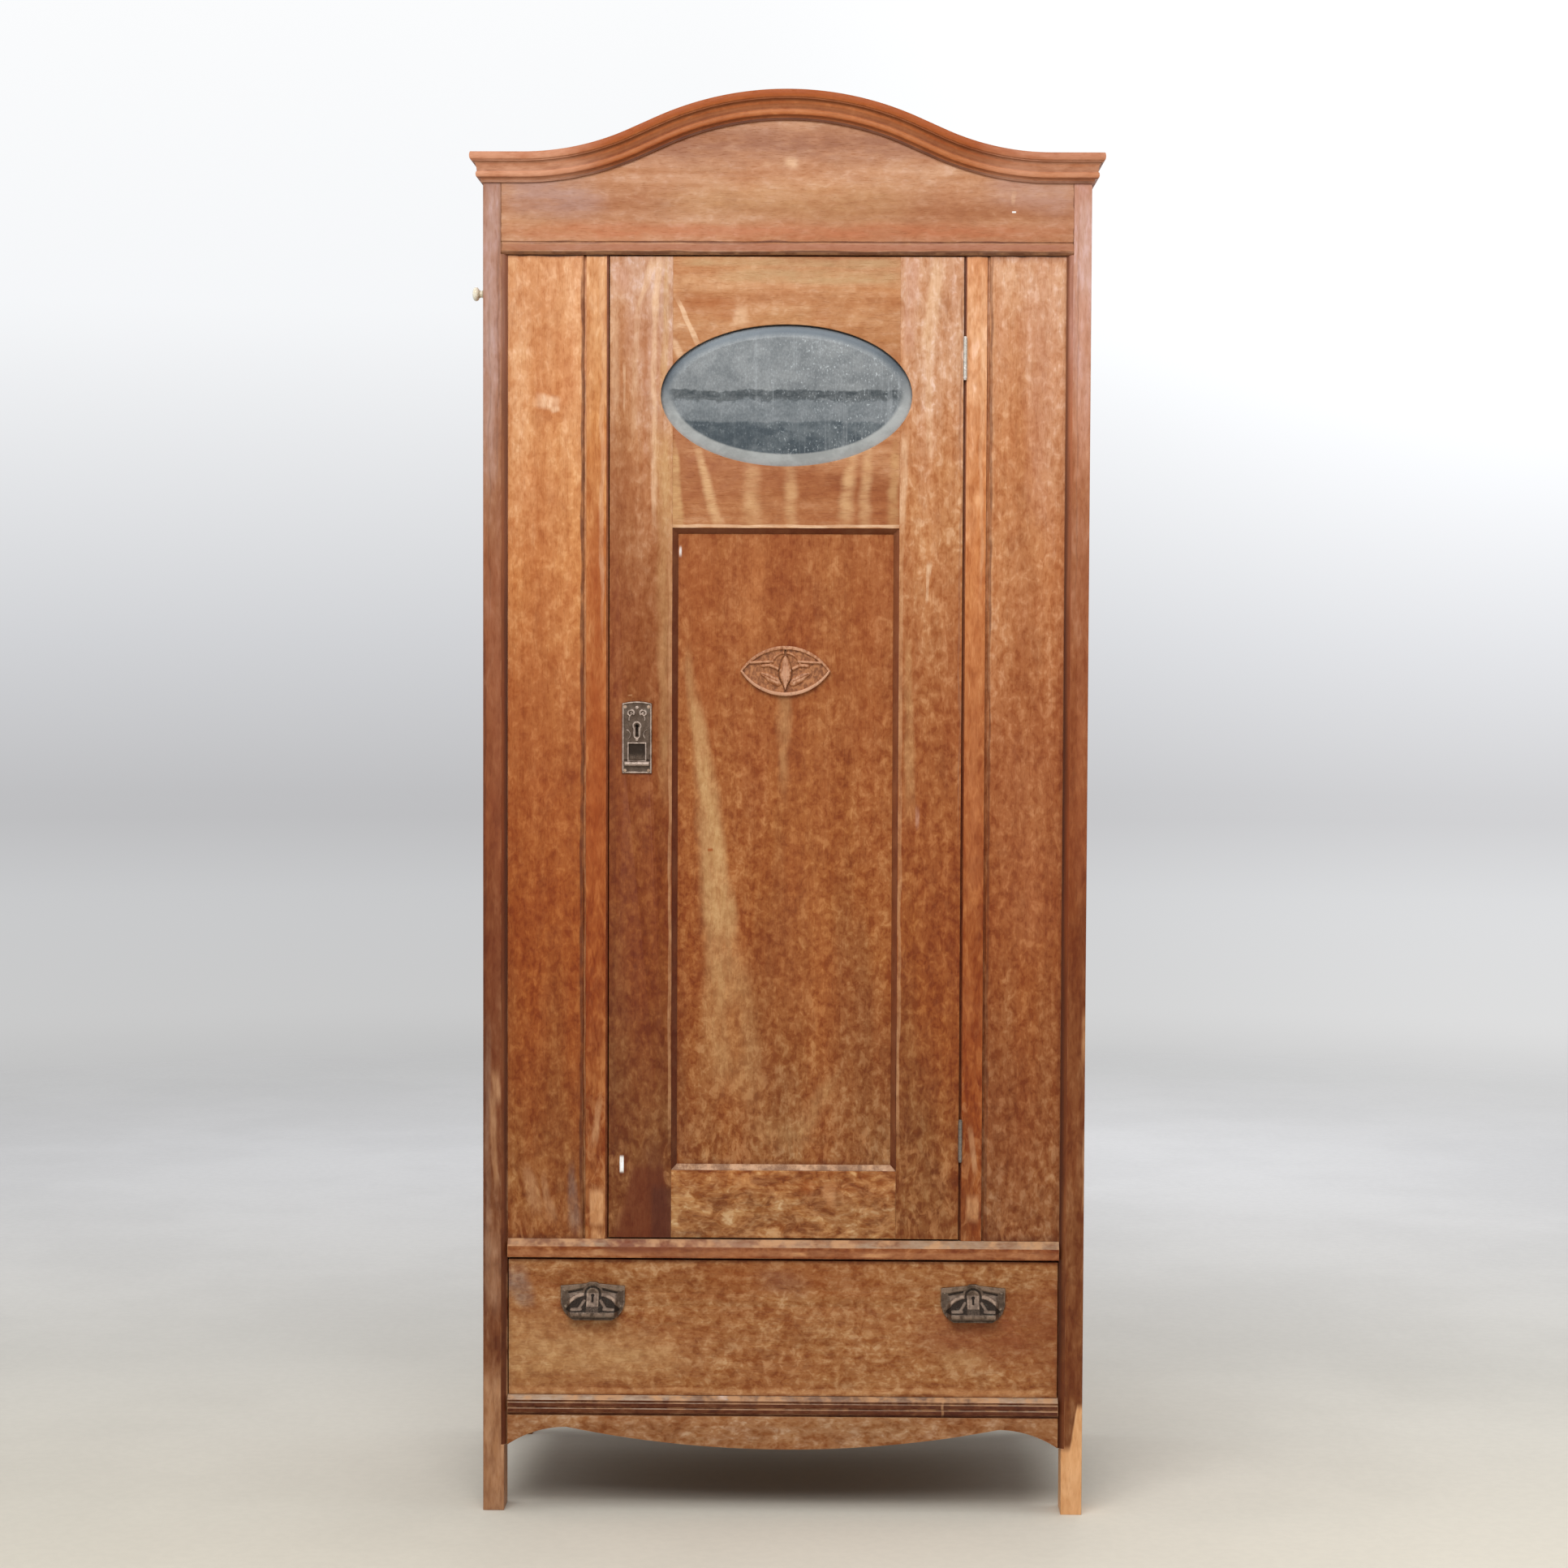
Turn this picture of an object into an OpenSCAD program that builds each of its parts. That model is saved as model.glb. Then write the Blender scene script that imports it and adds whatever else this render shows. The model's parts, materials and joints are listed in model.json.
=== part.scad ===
// Single-door oak wardrobe: frame and panel body on four posts, arched cornice,
// door with an oval mirror, and one wide drawer.
// The origin is on the floor under the middle, +Z is up and the front faces -Y.

/* [Body] */
// Width over the posts
body_w = 870; // [840:1:1000]
// Depth from the posts' front face to the back
body_d = 480; // [440:1:560]
// Height to the crest of the arch
overall_h = 2050; // [1980:1:2150]

/* [Posts] */
// Width of a post seen from the front
post_w = 35; // [33:0.5:42]
// Depth of a front post
post_front_d = 50; // [44:1:60]
// Depth of a rear post
post_rear_d = 32; // [28:1:40]
// Width of a leg below the frame
leg_w = 30.5; // [24:0.5:32]
// Height of the legs
leg_h = 96; // [88:1:100]
// Width of the bevel along a post's inner edge
bevel_w = 9.5; // [5:0.5:11]
// Depth of the door and panels behind the posts' face
face_recess = 7; // [5:0.5:9]

/* [Cornice and frieze] */
// How far the cornice stands out
cornice_out = 18; // [12:1:26]
// Height of the cornice moulding
cornice_h = 42; // [34:1:50]
// Rise of the arch above the straight ends
arch_rise = 89; // [80:1:96]
// Half width of the arch
arch_half_w = 377; // [366:1:400]
// Radius at the crest
arch_top_r = 460; // [430:1:500]
// Steepest slope of the arch in degrees
arch_angle = 24; // [23:0.5:26]
// Height from the frieze's lower edge to the straight ends' top
frieze_h = 143; // [120:1:170]
// Thickness of the frieze board
frieze_t = 22; // [16:1:28]
// Height of the quirked edge along the frieze
frieze_bead_h = 16; // [8:1:24]

/* [Front rails and apron] */
// Height of the lower rail's underside
z_lower = 140; // [132:1:160]
// Height of the lower rail
lower_rail_h = 29; // [24:1:36]
// Height of the opening for the drawer
drawer_opening_h = 202.5; // [180:0.5:240]
// Height of the divider rail
divider_h = 26.5; // [20:0.5:36]
// Height of the bevel on the divider rail
divider_bevel_h = 10.5; // [4:0.5:14]
// Height of the bevel on the lower rail
lower_bevel_h = 6; // [3:0.5:9]
// Thickness of the apron
apron_t = 20; // [19:1:26]
// Height of the apron's lower edge at the middle
apron_mid_z = 91.5; // [84:0.5:100]
// Height of the apron's two peaks
apron_peak_z = 122.5; // [112:0.5:128]
// Distance from a post to a peak of the apron
apron_foot_w = 86; // [70:1:110]

/* [Sides, back, floor and roof] */
// Thickness of a side rail
side_rail_t = 22; // [19:1:24]
// Depth of a side panel behind the posts' outer face
side_panel_in = 6; // [3:0.5:7]
// Height of a bottom side rail
side_rail_low_h = 100; // [80:1:120]
// Height of a middle side rail
side_rail_mid_h = 60; // [52:1:80]
// Height of a top side rail
side_rail_top_h = 100; // [70:1:140]
// Thickness of the back boards
board_t = 10; // [6:1:14]
// Number of back boards
board_count = 6; // [4:1:8]
// Thickness of the floor board
floor_t = 16; // [12:1:20]
// Thickness of the roof board
roof_t = 16; // [12:1:20]

/* [Front panels and muntins] */
// Width of a muntin
muntin_w = 29; // [22:1:36]
// Width of the sunk line between a muntin and its panel
reveal_w = 4; // [2:0.5:6]
// Thickness of a fixed front panel
front_panel_t = 16; // [14:1:20]

/* [Door] */
// Width of the door
door_w = 507; // [480:1:530]
// Thickness of the door
door_t = 22; // [21:0.5:26]
// Gap between the door and a muntin
door_side_gap = 4.5; // [4.5:0.1:6]
// Gap above and below the door
door_end_gap = 2.5; // [1.5:0.1:4]
// Width of a stile
stile_w = 90.5; // [80:0.5:100]
// Height of the top rail
top_rail_h = 387.5; // [340:0.5:420]
// Height of the bottom rail
bottom_rail_h = 98.5; // [70:0.5:140]
// Thickness of the door panel
door_panel_t = 8; // [6:0.5:9]
// Width of the bevelled beads round the panel
bead_w = 8; // [5:0.5:12]
// How far the door opens in degrees
door_swing = 170; // [90:1:170]

/* [Mirror] */
// Width of the oval opening
mirror_w = 361; // [320:1:380]
// Height of the oval opening
mirror_h = 203; // [170:1:230]
// Distance from the door's top to the oval's centre
mirror_down = 197.5; // [180:0.5:220]
// Width of the ground bevel
mirror_bevel_w = 18; // [10:1:26]
// Thickness of the glass at its edge
glass_t = 5; // [4:0.5:6]

/* [Carving] */
// Length of the carved oval
carving_w = 130; // [100:1:160]
// Height of the carved oval
carving_h = 72; // [56:1:90]
// Distance from the top rail to the carving's centre
carving_down = 205; // [150:1:260]
// Height of the carving above the panel
carving_t = 6.5; // [4:0.5:8]

/* [Hinges] */
// Height of a hinge
hinge_h = 58; // [50:1:70]
// Distance of a hinge from the door's end
hinge_inset = 115; // [90:1:150]
// Radius of the knuckles
knuckle_r = 2.9; // [2.4:0.1:3]
// Radius of the hinge pin
hinge_pin_r = 1.5; // [1.2:0.1:1.8]
// Thickness of a leaf
leaf_t = 1.5; // [1.2:0.1:1.8]

/* [Lock] */
// Width of the lock plate
plate_w = 43; // [38:1:50]
// Height of the lock plate
plate_h = 104; // [90:1:115]
// Distance from the door's edge to the keyhole
backset = 40; // [36:1:46]
// Height of the keyhole above the door's foot
keyhole_up = 742.5; // [700:0.5:780]
// Width of the lock case
case_w = 57; // [52:1:64]
// Height of the lock case
case_h = 70; // [60:1:80]
// Depth of the lock case with its cover
case_d = 12; // [11:0.5:13]
// Height of the bolt
bolt_h = 16; // [12:1:20]
// Length of the bolt
bolt_l = 38; // [32:1:40]
// How far the bolt moves
bolt_travel = 9; // [6:0.5:10]

/* [Drawer] */
// Gap beside the drawer front
drawer_side_gap = 1.5; // [1:0.1:3]
// Gap above the drawer front
drawer_head_gap = 4; // [2:0.1:6]
// Thickness of the drawer front
drawer_front_t = 20; // [18:1:24]
// Thickness of a drawer side
drawer_side_t = 12; // [10:1:15]
// Thickness of the drawer bottom
drawer_bottom_t = 6; // [4:0.5:8]
// How far the drawer slides out
drawer_travel = 320; // [250:1:330]
// Distance from the middle to a pull
pull_x = 276; // [240:1:300]
// Height of a pull's centre above the lower rail
pull_up = 138; // [110:1:150]
// Width of a pull
pull_w = 93; // [80:1:110]
// Height of a pull
pull_h = 56; // [50:1:64]
// How far the finger lip stands out
pull_out = 20; // [16:1:24]

/* [Inside] */
// Distance from the frieze's lower edge down to the hat shelf
shelf_down = 222; // [180:1:300]
// Thickness of the hat shelf
shelf_t = 16; // [12:1:20]
// Height of a shelf batten
batten_h = 60; // [54:1:70]
// Radius of the hanging rod
rod_r = 12; // [10:0.5:14]

/* [Side knob] */
// Length of the knob
knob_l = 17.5; // [12:0.5:17.5]
// Radius of the knob
knob_r = 10; // [7:0.5:12]
// Distance from the straight cornice top down to the knob
knob_down = 198; // [160:1:260]

/* [Hidden] */
$fn = 48;

// Colours
oak = "peru";
oak_dark = "sienna";
oak_light = "burlywood";
softwood = "wheat";
bronze = "dimgray";
steel = "silver";

// Clearances
overrun = 1;
fit_gap = 0.3;
pin_gap = 0.05;

// Main planes
half_w = body_w / 2;
inner_x = half_w - post_w;
front_y = cornice_out / 2 - body_d / 2;
back_y = front_y + body_d;
panel_y = front_y + face_recess;
post_back_y = front_y + post_front_d;
rear_y = back_y - post_rear_d;
z_flat = overall_h - arch_rise;
z_frieze = z_flat - frieze_h;
z_drawer = z_lower + lower_rail_h;
z_divider = z_drawer + drawer_opening_h;
z_door = z_divider + divider_h;

// Roof and floor
roof_drop = 3;
post_top = z_flat - roof_drop - roof_t;
floor_drop = 6;
z_floor = z_door - floor_drop;

// Tongues, tenons and grooves
tongue_l = 6;
tongue_t = 8;
tongue_in = 4;
tenon_l = 14;
tenon_t = 8;
tenon_in = 8;
tenon_shoulder = 4;

// Cornice profile as shares of its projection and its height, from the back of its top
profile_shares = [
    [0, 0], [0.9, 0], [1, 0.05], [1, 0.25], [0.9, 0.31], [0.74, 0.36], [0.56, 0.45],
    [0.46, 0.57], [0.48, 0.62], [0.54, 0.66], [0.52, 0.77], [0.4, 0.85], [0.2, 0.88],
    [0.16, 1], [0, 1]
];
arch_steps = 12;
arch_foot_r = (arch_half_w * sin(arch_angle) - arch_rise * cos(arch_angle))
    / (1 - cos(arch_angle)) - arch_top_r;

// Details of the rails
quirk_w = 2;
quirk_d = 1.5;
frieze_edge = 3;
under_in = 5;
under_h = 4;
apron_in = 3;
apron_steps = 16;

// Side frames
side_rail_x = half_w - side_rail_t;
side_panel_x = half_w - side_panel_in - tongue_t;
z_side = 130;
side_mid_z = z_floor + tongue_t - side_rail_mid_h;
side_rail_spans = [
    [z_side, z_side + side_rail_low_h],
    [side_mid_z, side_mid_z + side_rail_mid_h],
    [post_top - side_rail_top_h, post_top]
];
board_lap = 10;
board_gap = 0.5;

// Front frame
door_x = door_w / 2;
muntin_x = door_x + door_side_gap;
muntin_out_x = muntin_x + muntin_w;
front_panel_x = muntin_out_x + reveal_w;

// Door frame
door_z0 = z_door + door_end_gap;
door_z1 = z_frieze - door_end_gap;
door_back_y = panel_y + door_t;
stile_x = door_x - stile_w;
top_rail_z = door_z1 - top_rail_h;
bottom_rail_z = door_z0 + bottom_rail_h;
groove_l = 10;
groove_in = 9;
door_panel_y = panel_y + groove_in;
bead_lip = 1;
bead_edge = 1;

// Mirror
mirror_z = door_z1 - mirror_down;
mirror_a = mirror_w / 2;
mirror_b = mirror_h / 2;
mirror_lip = 7;
rebate_w = 8;
mirror_rise = 2.4;
oval_steps = 72;
button_l = 30;
button_w = 12;
button_t = 4;
button_count = 6;

// Carving
carving_z = top_rail_z - carving_down;
carving_base_t = 2.5;
carving_rim_w = 5;
carving_bud_w = 26;
carving_leaf_w = 44;
carving_leaf_h = 20;
carving_leaf_x = 32;

// Hinges
hinge_x = (door_x + muntin_x) / 2;
hinge_out = 2.3;
hinge_y = panel_y - hinge_out;
leaf_d = 19;
knuckle_count = 5;
knuckle_l = hinge_h / knuckle_count;
knuckle_gap = 0.3;
hinge_zs = [door_z0 + hinge_inset, door_z1 - hinge_inset - hinge_h];
pin_head_r = 2.2;
pin_head_h = 2;
screw_shares = [0.18, 0.5, 0.82];
screw_in = 12;
screw_r = 1.3;
screw_head_r = 2.6;
screw_l = 11;

// Lock
keyhole_x = -door_x + backset;
keyhole_z = door_z0 + keyhole_up;
keyhole_r = 3;
keyhole_slot_w = 3;
keyhole_slot_h = 15;
case_wall = 1.5;
case_up = 32;
case_y = door_back_y - case_d;
case_z = keyhole_z + case_up - case_h;
bolt_up = 5;
bolt_z = keyhole_z + bolt_up;
strike_t = 1.2;
strike_h = 60;
strike_side = 3;
strike_screw_share = 0.12;
plate_t = 3.2;
plate_top = 35.5;
plate_z = keyhole_z + plate_top;
plate_arch = 3;
plate_recess_w = 23;
plate_recess_h = 23;
plate_recess_d = 2;
plate_recess_up = 19.5;
lip_r = 3.5;
lip_w = 36;
lip_up = 14;
lip_out = 4;
plate_pin_in = 4.5;
tack_r = 1.2;
tack_l = 8;
tack_head_r = 2.2;
tack_head_h = 1;

// Drawer
drawer_foot_gap = 0.5;
drawer_x = inner_x - drawer_side_gap;
drawer_z0 = z_drawer + drawer_foot_gap;
drawer_z1 = z_divider - drawer_head_gap;
drawer_side_set = 7;
drawer_side_x = inner_x - drawer_side_set;
drawer_lap = 12;
drawer_side_drop = 22;
drawer_side_top = drawer_z1 - drawer_side_drop;
drawer_back_room = 31;
drawer_end_y = rear_y - drawer_back_room;
drawer_bottom_up = 12;
drawer_groove = 6;
drawer_back_drop = 8;
runner_w = 9;
runner_x = drawer_side_x - drawer_side_t - runner_w;
runner_h = 20;
guide_h = 26;
kicker_h = 25;
stop_h = 12;
stop_d = 14;

// Pulls, as shares of half the width and half the height
pull_outline_shares = [
    [-1, 0.8], [-0.45, 0.88], [-0.2, 0.92], [-0.1, 1], [0.1, 1], [0.2, 0.92],
    [0.45, 0.88], [1, 0.8], [1, -0.1], [0.92, -0.5], [0.78, -0.8], [0.6, -1],
    [-0.6, -1], [-0.78, -0.8], [-0.92, -0.5], [-1, -0.1]
];
pull_t = 2.5;
pull_z = z_drawer + pull_up;
hood_w = 72;
hood_wall = 3;
hood_top = 12;
hood_lip_z = 13;
hood_foot_z = 21;
boss_r = 9;
boss_out = 3;
pull_tack_shares = [[-0.88, 0.6], [0.88, 0.6], [-0.84, -0.25], [0.84, -0.25]];

// Inside
door_stop_t = 20;
door_stop_h = 22;
door_stop_lap = 15;
z_shelf = z_frieze - shelf_down;
shelf_set = 6;
shelf_end_gap = 0.5;
batten_t = 18;
batten_front = 14;
rod_drop = 35;
rod_y = (post_back_y + rear_y) / 2;
rod_z = z_shelf - shelf_t - rod_drop;
socket_t = 14;
socket_r = 20;
socket_floor = 5;

// Side knob
knob_neck_r = 5.5;
knob_neck_l = 5;
knob_flare = 2;
knob_round = 3;
knob_y = front_y + post_front_d / 2;
knob_z = z_flat - knob_down;

// A box between two corners
module bar(from, to) {
    translate(from) cube(to - from);
}

// The right-hand shape, or its mirror image on the left
module on_side(side) {
    if (side > 0) children();
    else mirror([1, 0, 0]) children();
}

module on_both_sides() {
    for (side = [-1, 1]) on_side(side) children();
}

// An outline drawn in x and z, standing from y to y + t
module upright(y, t) {
    translate([0, y + t, 0]) rotate([90, 0, 0]) linear_extrude(t) children();
}

// An outline drawn in y and z, running along x
module lengthwise(x0, x1) {
    translate([x0, 0, 0]) rotate([90, 0, 90]) linear_extrude(x1 - x0) children();
}

// A solid skin over rings of equally many points, closed at both ends
module sweep(rings) {
    n = len(rings[0]);
    last = len(rings) - 1;
    points = [for (ring = rings, point = ring) point];
    walls = [
        for (i = [0 : last - 1], j = [0 : n - 1])
            let (a = i * n + j, b = i * n + (j + 1) % n)
                each [[a, a + n, b + n], [a, b + n, b]]
    ];
    ends = [[for (j = [0 : n - 1]) j], [for (j = [n - 1 : -1 : 0]) last * n + j]];
    polyhedron(points, concat(walls, ends));
}

// Countersunk screw along +x, with its head ending at x = 0
module screw() {
    rotate([0, 90, 0]) {
        translate([0, 0, -leaf_t]) cylinder(r = screw_head_r, h = leaf_t);
        cylinder(r = screw_r, h = screw_l);
    }
}

// Round-headed tack along +y, with its head standing before y = 0
module tack(through) {
    rotate([-90, 0, 0]) {
        translate([0, 0, -tack_head_h]) cylinder(r = tack_head_r, h = tack_head_h);
        cylinder(r = tack_r, h = through + tack_l);
    }
}

// Body frame

module side_groove(end_y) {
    bar([side_panel_x, end_y - tongue_l, z_side],
        [side_panel_x + tongue_t, end_y + tongue_l, post_top + overrun]);
}

module rail_tenon(z0, z1) {
    bar([inner_x - overrun, front_y + tenon_in, z0 + tenon_shoulder],
        [inner_x + tenon_l, front_y + tenon_in + tenon_t, z1 - tenon_shoulder]);
}

module front_tenons() {
    rail_tenon(leg_h, z_lower);
    rail_tenon(z_lower, z_drawer);
    rail_tenon(z_divider, z_door - divider_bevel_h);
}

module front_panel_tongue() {
    bar([muntin_out_x - tongue_l, panel_y + tongue_in, z_door],
        [inner_x + tongue_l, panel_y + tongue_in + tongue_t, z_frieze]);
}

module post_front(side) {
    color(oak_dark) on_side(side) difference() {
        union() {
            bar([inner_x, front_y, leg_h], [half_w, post_back_y, post_top]);
            bar([half_w - leg_w, front_y, 0], [half_w, post_back_y, leg_h]);
        }
        translate([0, 0, leg_h]) linear_extrude(z_frieze - leg_h) polygon([
            [inner_x - overrun, front_y - overrun], [inner_x + bevel_w, front_y - overrun],
            [inner_x + bevel_w, front_y], [inner_x, panel_y], [inner_x - overrun, panel_y]
        ]);
        bar([inner_x - overrun, front_y - overrun, z_frieze],
            [inner_x + bevel_w, front_y + frieze_t, post_top + overrun]);
        side_groove(post_back_y);
        front_tenons();
        front_panel_tongue();
    }
}

module post_rear(side) {
    color(oak_dark) on_side(side) difference() {
        union() {
            bar([inner_x, rear_y, leg_h], [half_w, back_y, post_top]);
            bar([half_w - leg_w, rear_y, 0], [half_w, back_y, leg_h]);
        }
        side_groove(rear_y);
        bar([inner_x - overrun, back_y - board_t, z_side],
            [inner_x + board_lap, back_y + overrun, post_top + overrun]);
    }
}

module side_tongue(z0, z1) {
    bar([side_panel_x, post_back_y - tongue_l, z0],
        [side_panel_x + tongue_t, rear_y + tongue_l, z1]);
}

module side_panels(side) {
    color(oak) on_side(side) for (i = [0, 1])
        side_tongue(side_rail_spans[i][1] - tongue_l, side_rail_spans[i + 1][0] + tongue_l);
}

module side_rails(side) {
    color(oak_dark) on_side(side) difference() {
        for (span = side_rail_spans) {
            bar([side_rail_x, post_back_y, span[0]], [half_w, rear_y, span[1]]);
            side_tongue(span[0], span[1]);
        }
        for (i = [0, 1])
            side_tongue(side_rail_spans[i][1] - tongue_l, side_rail_spans[i + 1][0] + tongue_l);
    }
}

module back_rails() {
    color(softwood) for (span = side_rail_spans)
        bar([-inner_x, rear_y, span[0]], [inner_x, back_y - board_t, span[1]]);
}

module back_boards() {
    span = 2 * (inner_x + board_lap);
    pitch = (span + board_gap) / board_count;
    color(softwood) for (i = [0 : board_count - 1])
        translate([-span / 2 + i * pitch, back_y - board_t, z_side])
            cube([pitch - board_gap, board_t, post_top - z_side]);
}

module floor_board() {
    color(softwood) bar([-side_rail_x, post_back_y, z_floor - floor_t],
        [side_rail_x, rear_y, z_floor]);
}

module roof_board() {
    color(softwood) bar([-half_w, front_y + frieze_t, post_top],
        [half_w, back_y, post_top + roof_t]);
}

module divider_rail() {
    color(oak_dark) {
        lengthwise(-inner_x, inner_x) polygon([
            [front_y, z_divider], [post_back_y, z_divider], [post_back_y, z_door],
            [panel_y, z_door], [front_y, z_door - divider_bevel_h]
        ]);
        on_both_sides() rail_tenon(z_divider, z_door - divider_bevel_h);
    }
}

module lower_rail() {
    bead_top = z_drawer - lower_bevel_h - quirk_w;
    color(oak_dark) {
        difference() {
            lengthwise(-inner_x, inner_x) polygon([
                [front_y + under_in, z_lower], [post_back_y, z_lower],
                [post_back_y, z_drawer], [panel_y, z_drawer],
                [front_y, z_drawer - lower_bevel_h], [front_y, z_lower + under_h],
                [front_y + under_in, z_lower + under_h]
            ]);
            for (z = [bead_top - quirk_w, (bead_top + z_lower) / 2])
                bar([-inner_x - overrun, front_y - overrun, z],
                    [inner_x + overrun, front_y + quirk_d, z + quirk_w]);
        }
        on_both_sides() rail_tenon(z_lower, z_drawer);
    }
}

// Radius of the arc that spans a half chord and rises by a height
function arc_r(half, rise) = (half * half + rise * rise) / (2 * rise);

module apron() {
    peak_x = inner_x - apron_foot_w;
    mid_r = arc_r(peak_x, apron_peak_z - apron_mid_z);
    mid_angle = asin(peak_x / mid_r);
    foot_r = arc_r(apron_foot_w, apron_peak_z - leg_h);
    foot_angle = asin(apron_foot_w / foot_r);
    half = [
        for (i = [0 : apron_steps]) let (a = mid_angle * i / apron_steps)
            [mid_r * sin(a), apron_mid_z + mid_r * (1 - cos(a))],
        for (i = [1 : apron_steps]) let (a = foot_angle * i / apron_steps)
            [peak_x + foot_r * sin(a), apron_peak_z - foot_r * (1 - cos(a))]
    ];
    left = [for (i = [len(half) - 1 : -1 : 1]) [-half[i][0], half[i][1]]];
    color(oak) {
        upright(front_y + apron_in, apron_t)
            polygon(concat(left, half, [[inner_x, z_lower], [-inner_x, z_lower]]));
        on_both_sides() rail_tenon(leg_h, z_lower);
    }
}

// The arch's crest from the middle to the right: x, z and the slope there
function arch_half() = [
    for (i = [0 : arch_steps]) let (a = arch_angle * i / arch_steps)
        [arch_top_r * sin(a), overall_h - arch_top_r * (1 - cos(a)), a],
    for (i = [arch_steps : -1 : 0]) let (a = arch_angle * i / arch_steps)
        [arch_half_w - arch_foot_r * sin(a), z_flat + arch_foot_r * (1 - cos(a)), a]
];

function arch_stations() = let (half = arch_half()) concat(
    [for (i = [len(half) - 1 : -1 : 1]) [-half[i][0], half[i][1], -half[i][2]]], half
);

module frieze_board() {
    notch_x = inner_x + bevel_w;
    crest = [for (s = arch_stations()) [s[0], s[1]]];
    color(oak) difference() {
        upright(front_y, frieze_t) polygon(concat(
            [[-notch_x, z_frieze], [-notch_x, post_top], [-half_w, post_top], [-half_w, z_flat]],
            crest,
            [[half_w, z_flat], [half_w, post_top], [notch_x, post_top], [notch_x, z_frieze]]
        ));
        bar([-notch_x - overrun, front_y - overrun, z_frieze + frieze_bead_h],
            [notch_x + overrun, front_y + quirk_d, z_frieze + frieze_bead_h + quirk_w]);
        lengthwise(-notch_x - overrun, notch_x + overrun) polygon([
            [front_y - overrun, z_frieze - overrun], [front_y + frieze_edge, z_frieze - overrun],
            [front_y + frieze_edge, z_frieze], [front_y, z_frieze + frieze_edge],
            [front_y - overrun, z_frieze + frieze_edge]
        ]);
    }
}

module cornice_front() {
    corner = [for (q = profile_shares)
        [half_w + q[0] * cornice_out, front_y - q[0] * cornice_out, z_flat - q[1] * cornice_h]];
    rings = concat(
        [[for (point = corner) [-point[0], point[1], point[2]]]],
        [for (s = arch_stations()) [for (q = profile_shares)
            [s[0] - q[1] * cornice_h * sin(s[2]), front_y - q[0] * cornice_out,
             s[1] - q[1] * cornice_h * cos(s[2])]]],
        [corner]
    );
    color(oak_dark) sweep(rings);
}

module cornice_return(side) {
    corner_x = half_w + cornice_out + overrun;
    color(oak_dark) on_side(side) intersection() {
        upright(front_y - cornice_out, body_d + cornice_out) polygon([for (q = profile_shares)
            [half_w + q[0] * cornice_out, z_flat - q[1] * cornice_h]]);
        translate([0, 0, z_flat - cornice_h - overrun]) linear_extrude(cornice_h + 2 * overrun)
            polygon([
                [half_w, front_y], [corner_x, front_y - cornice_out - overrun],
                [corner_x, back_y + overrun], [half_w, back_y + overrun]
            ]);
    }
}

module front_panel(side) {
    color(oak_light) on_side(side) {
        bar([front_panel_x, panel_y, z_door], [inner_x, panel_y + front_panel_t, z_frieze]);
        front_panel_tongue();
    }
}

module muntin_blank() {
    difference() {
        bar([muntin_x, panel_y, z_door], [muntin_out_x, door_back_y, z_frieze]);
        front_panel_tongue();
    }
}

module muntin_right() {
    color(oak_light) difference() {
        muntin_blank();
        leaf_recesses(1);
        frame_hinge_screws();
    }
}

module muntin_left() {
    color(oak_light) difference() {
        mirror([1, 0, 0]) muntin_blank();
        strike_blank();
        bolt_space(bolt_travel + fit_gap, overrun);
        strike_screws();
    }
}

// Carcass pieces that carry the drawer, shelf and rod

module drawer_runners() {
    color(softwood) on_both_sides()
        bar([runner_x, post_back_y, z_drawer - runner_h], [side_rail_x, rear_y, z_drawer]);
}

module drawer_guides() {
    color(softwood) on_both_sides()
        bar([drawer_side_x + drawer_foot_gap, post_back_y, z_drawer],
            [side_rail_x, rear_y, z_drawer + guide_h]);
}

module drawer_kickers() {
    color(softwood) on_both_sides()
        bar([runner_x, post_back_y, z_floor - floor_t - kicker_h],
            [side_rail_x, rear_y, z_floor - floor_t]);
}

module drawer_stops() {
    color(softwood) on_both_sides()
        bar([runner_x, drawer_end_y + fit_gap, z_drawer],
            [drawer_side_x, drawer_end_y + fit_gap + stop_d, z_drawer + stop_h]);
}

module door_stop() {
    board_y = front_y + frieze_t;
    leg_y = door_back_y + fit_gap;
    color(softwood) lengthwise(-inner_x, inner_x) polygon([
        [board_y, z_frieze], [leg_y, z_frieze], [leg_y, z_frieze - door_stop_lap],
        [board_y + door_stop_t, z_frieze - door_stop_lap],
        [board_y + door_stop_t, z_frieze + door_stop_h], [board_y, z_frieze + door_stop_h]
    ]);
}

module hat_shelf() {
    color(softwood) bar([shelf_end_gap - inner_x, post_back_y + shelf_set, z_shelf - shelf_t],
        [inner_x - shelf_end_gap, back_y - board_t, z_shelf]);
}

module shelf_battens() {
    color(softwood) on_both_sides()
        bar([inner_x - batten_t, post_back_y - batten_front, z_shelf - shelf_t - batten_h],
            [inner_x, back_y - board_t, z_shelf - shelf_t]);
}

module rod_sockets() {
    color(softwood) on_both_sides() translate([inner_x - batten_t - socket_t, rod_y, rod_z])
        rotate([0, 90, 0]) difference() {
            cylinder(r = socket_r, h = socket_t);
            translate([0, 0, -overrun])
                cylinder(r = rod_r + pin_gap, h = socket_t - socket_floor + overrun);
        }
}

module hanging_rod() {
    half = inner_x - batten_t - socket_floor - fit_gap;
    color(softwood) translate([-half, rod_y, rod_z]) rotate([0, 90, 0])
        cylinder(r = rod_r, h = 2 * half);
}

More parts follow.
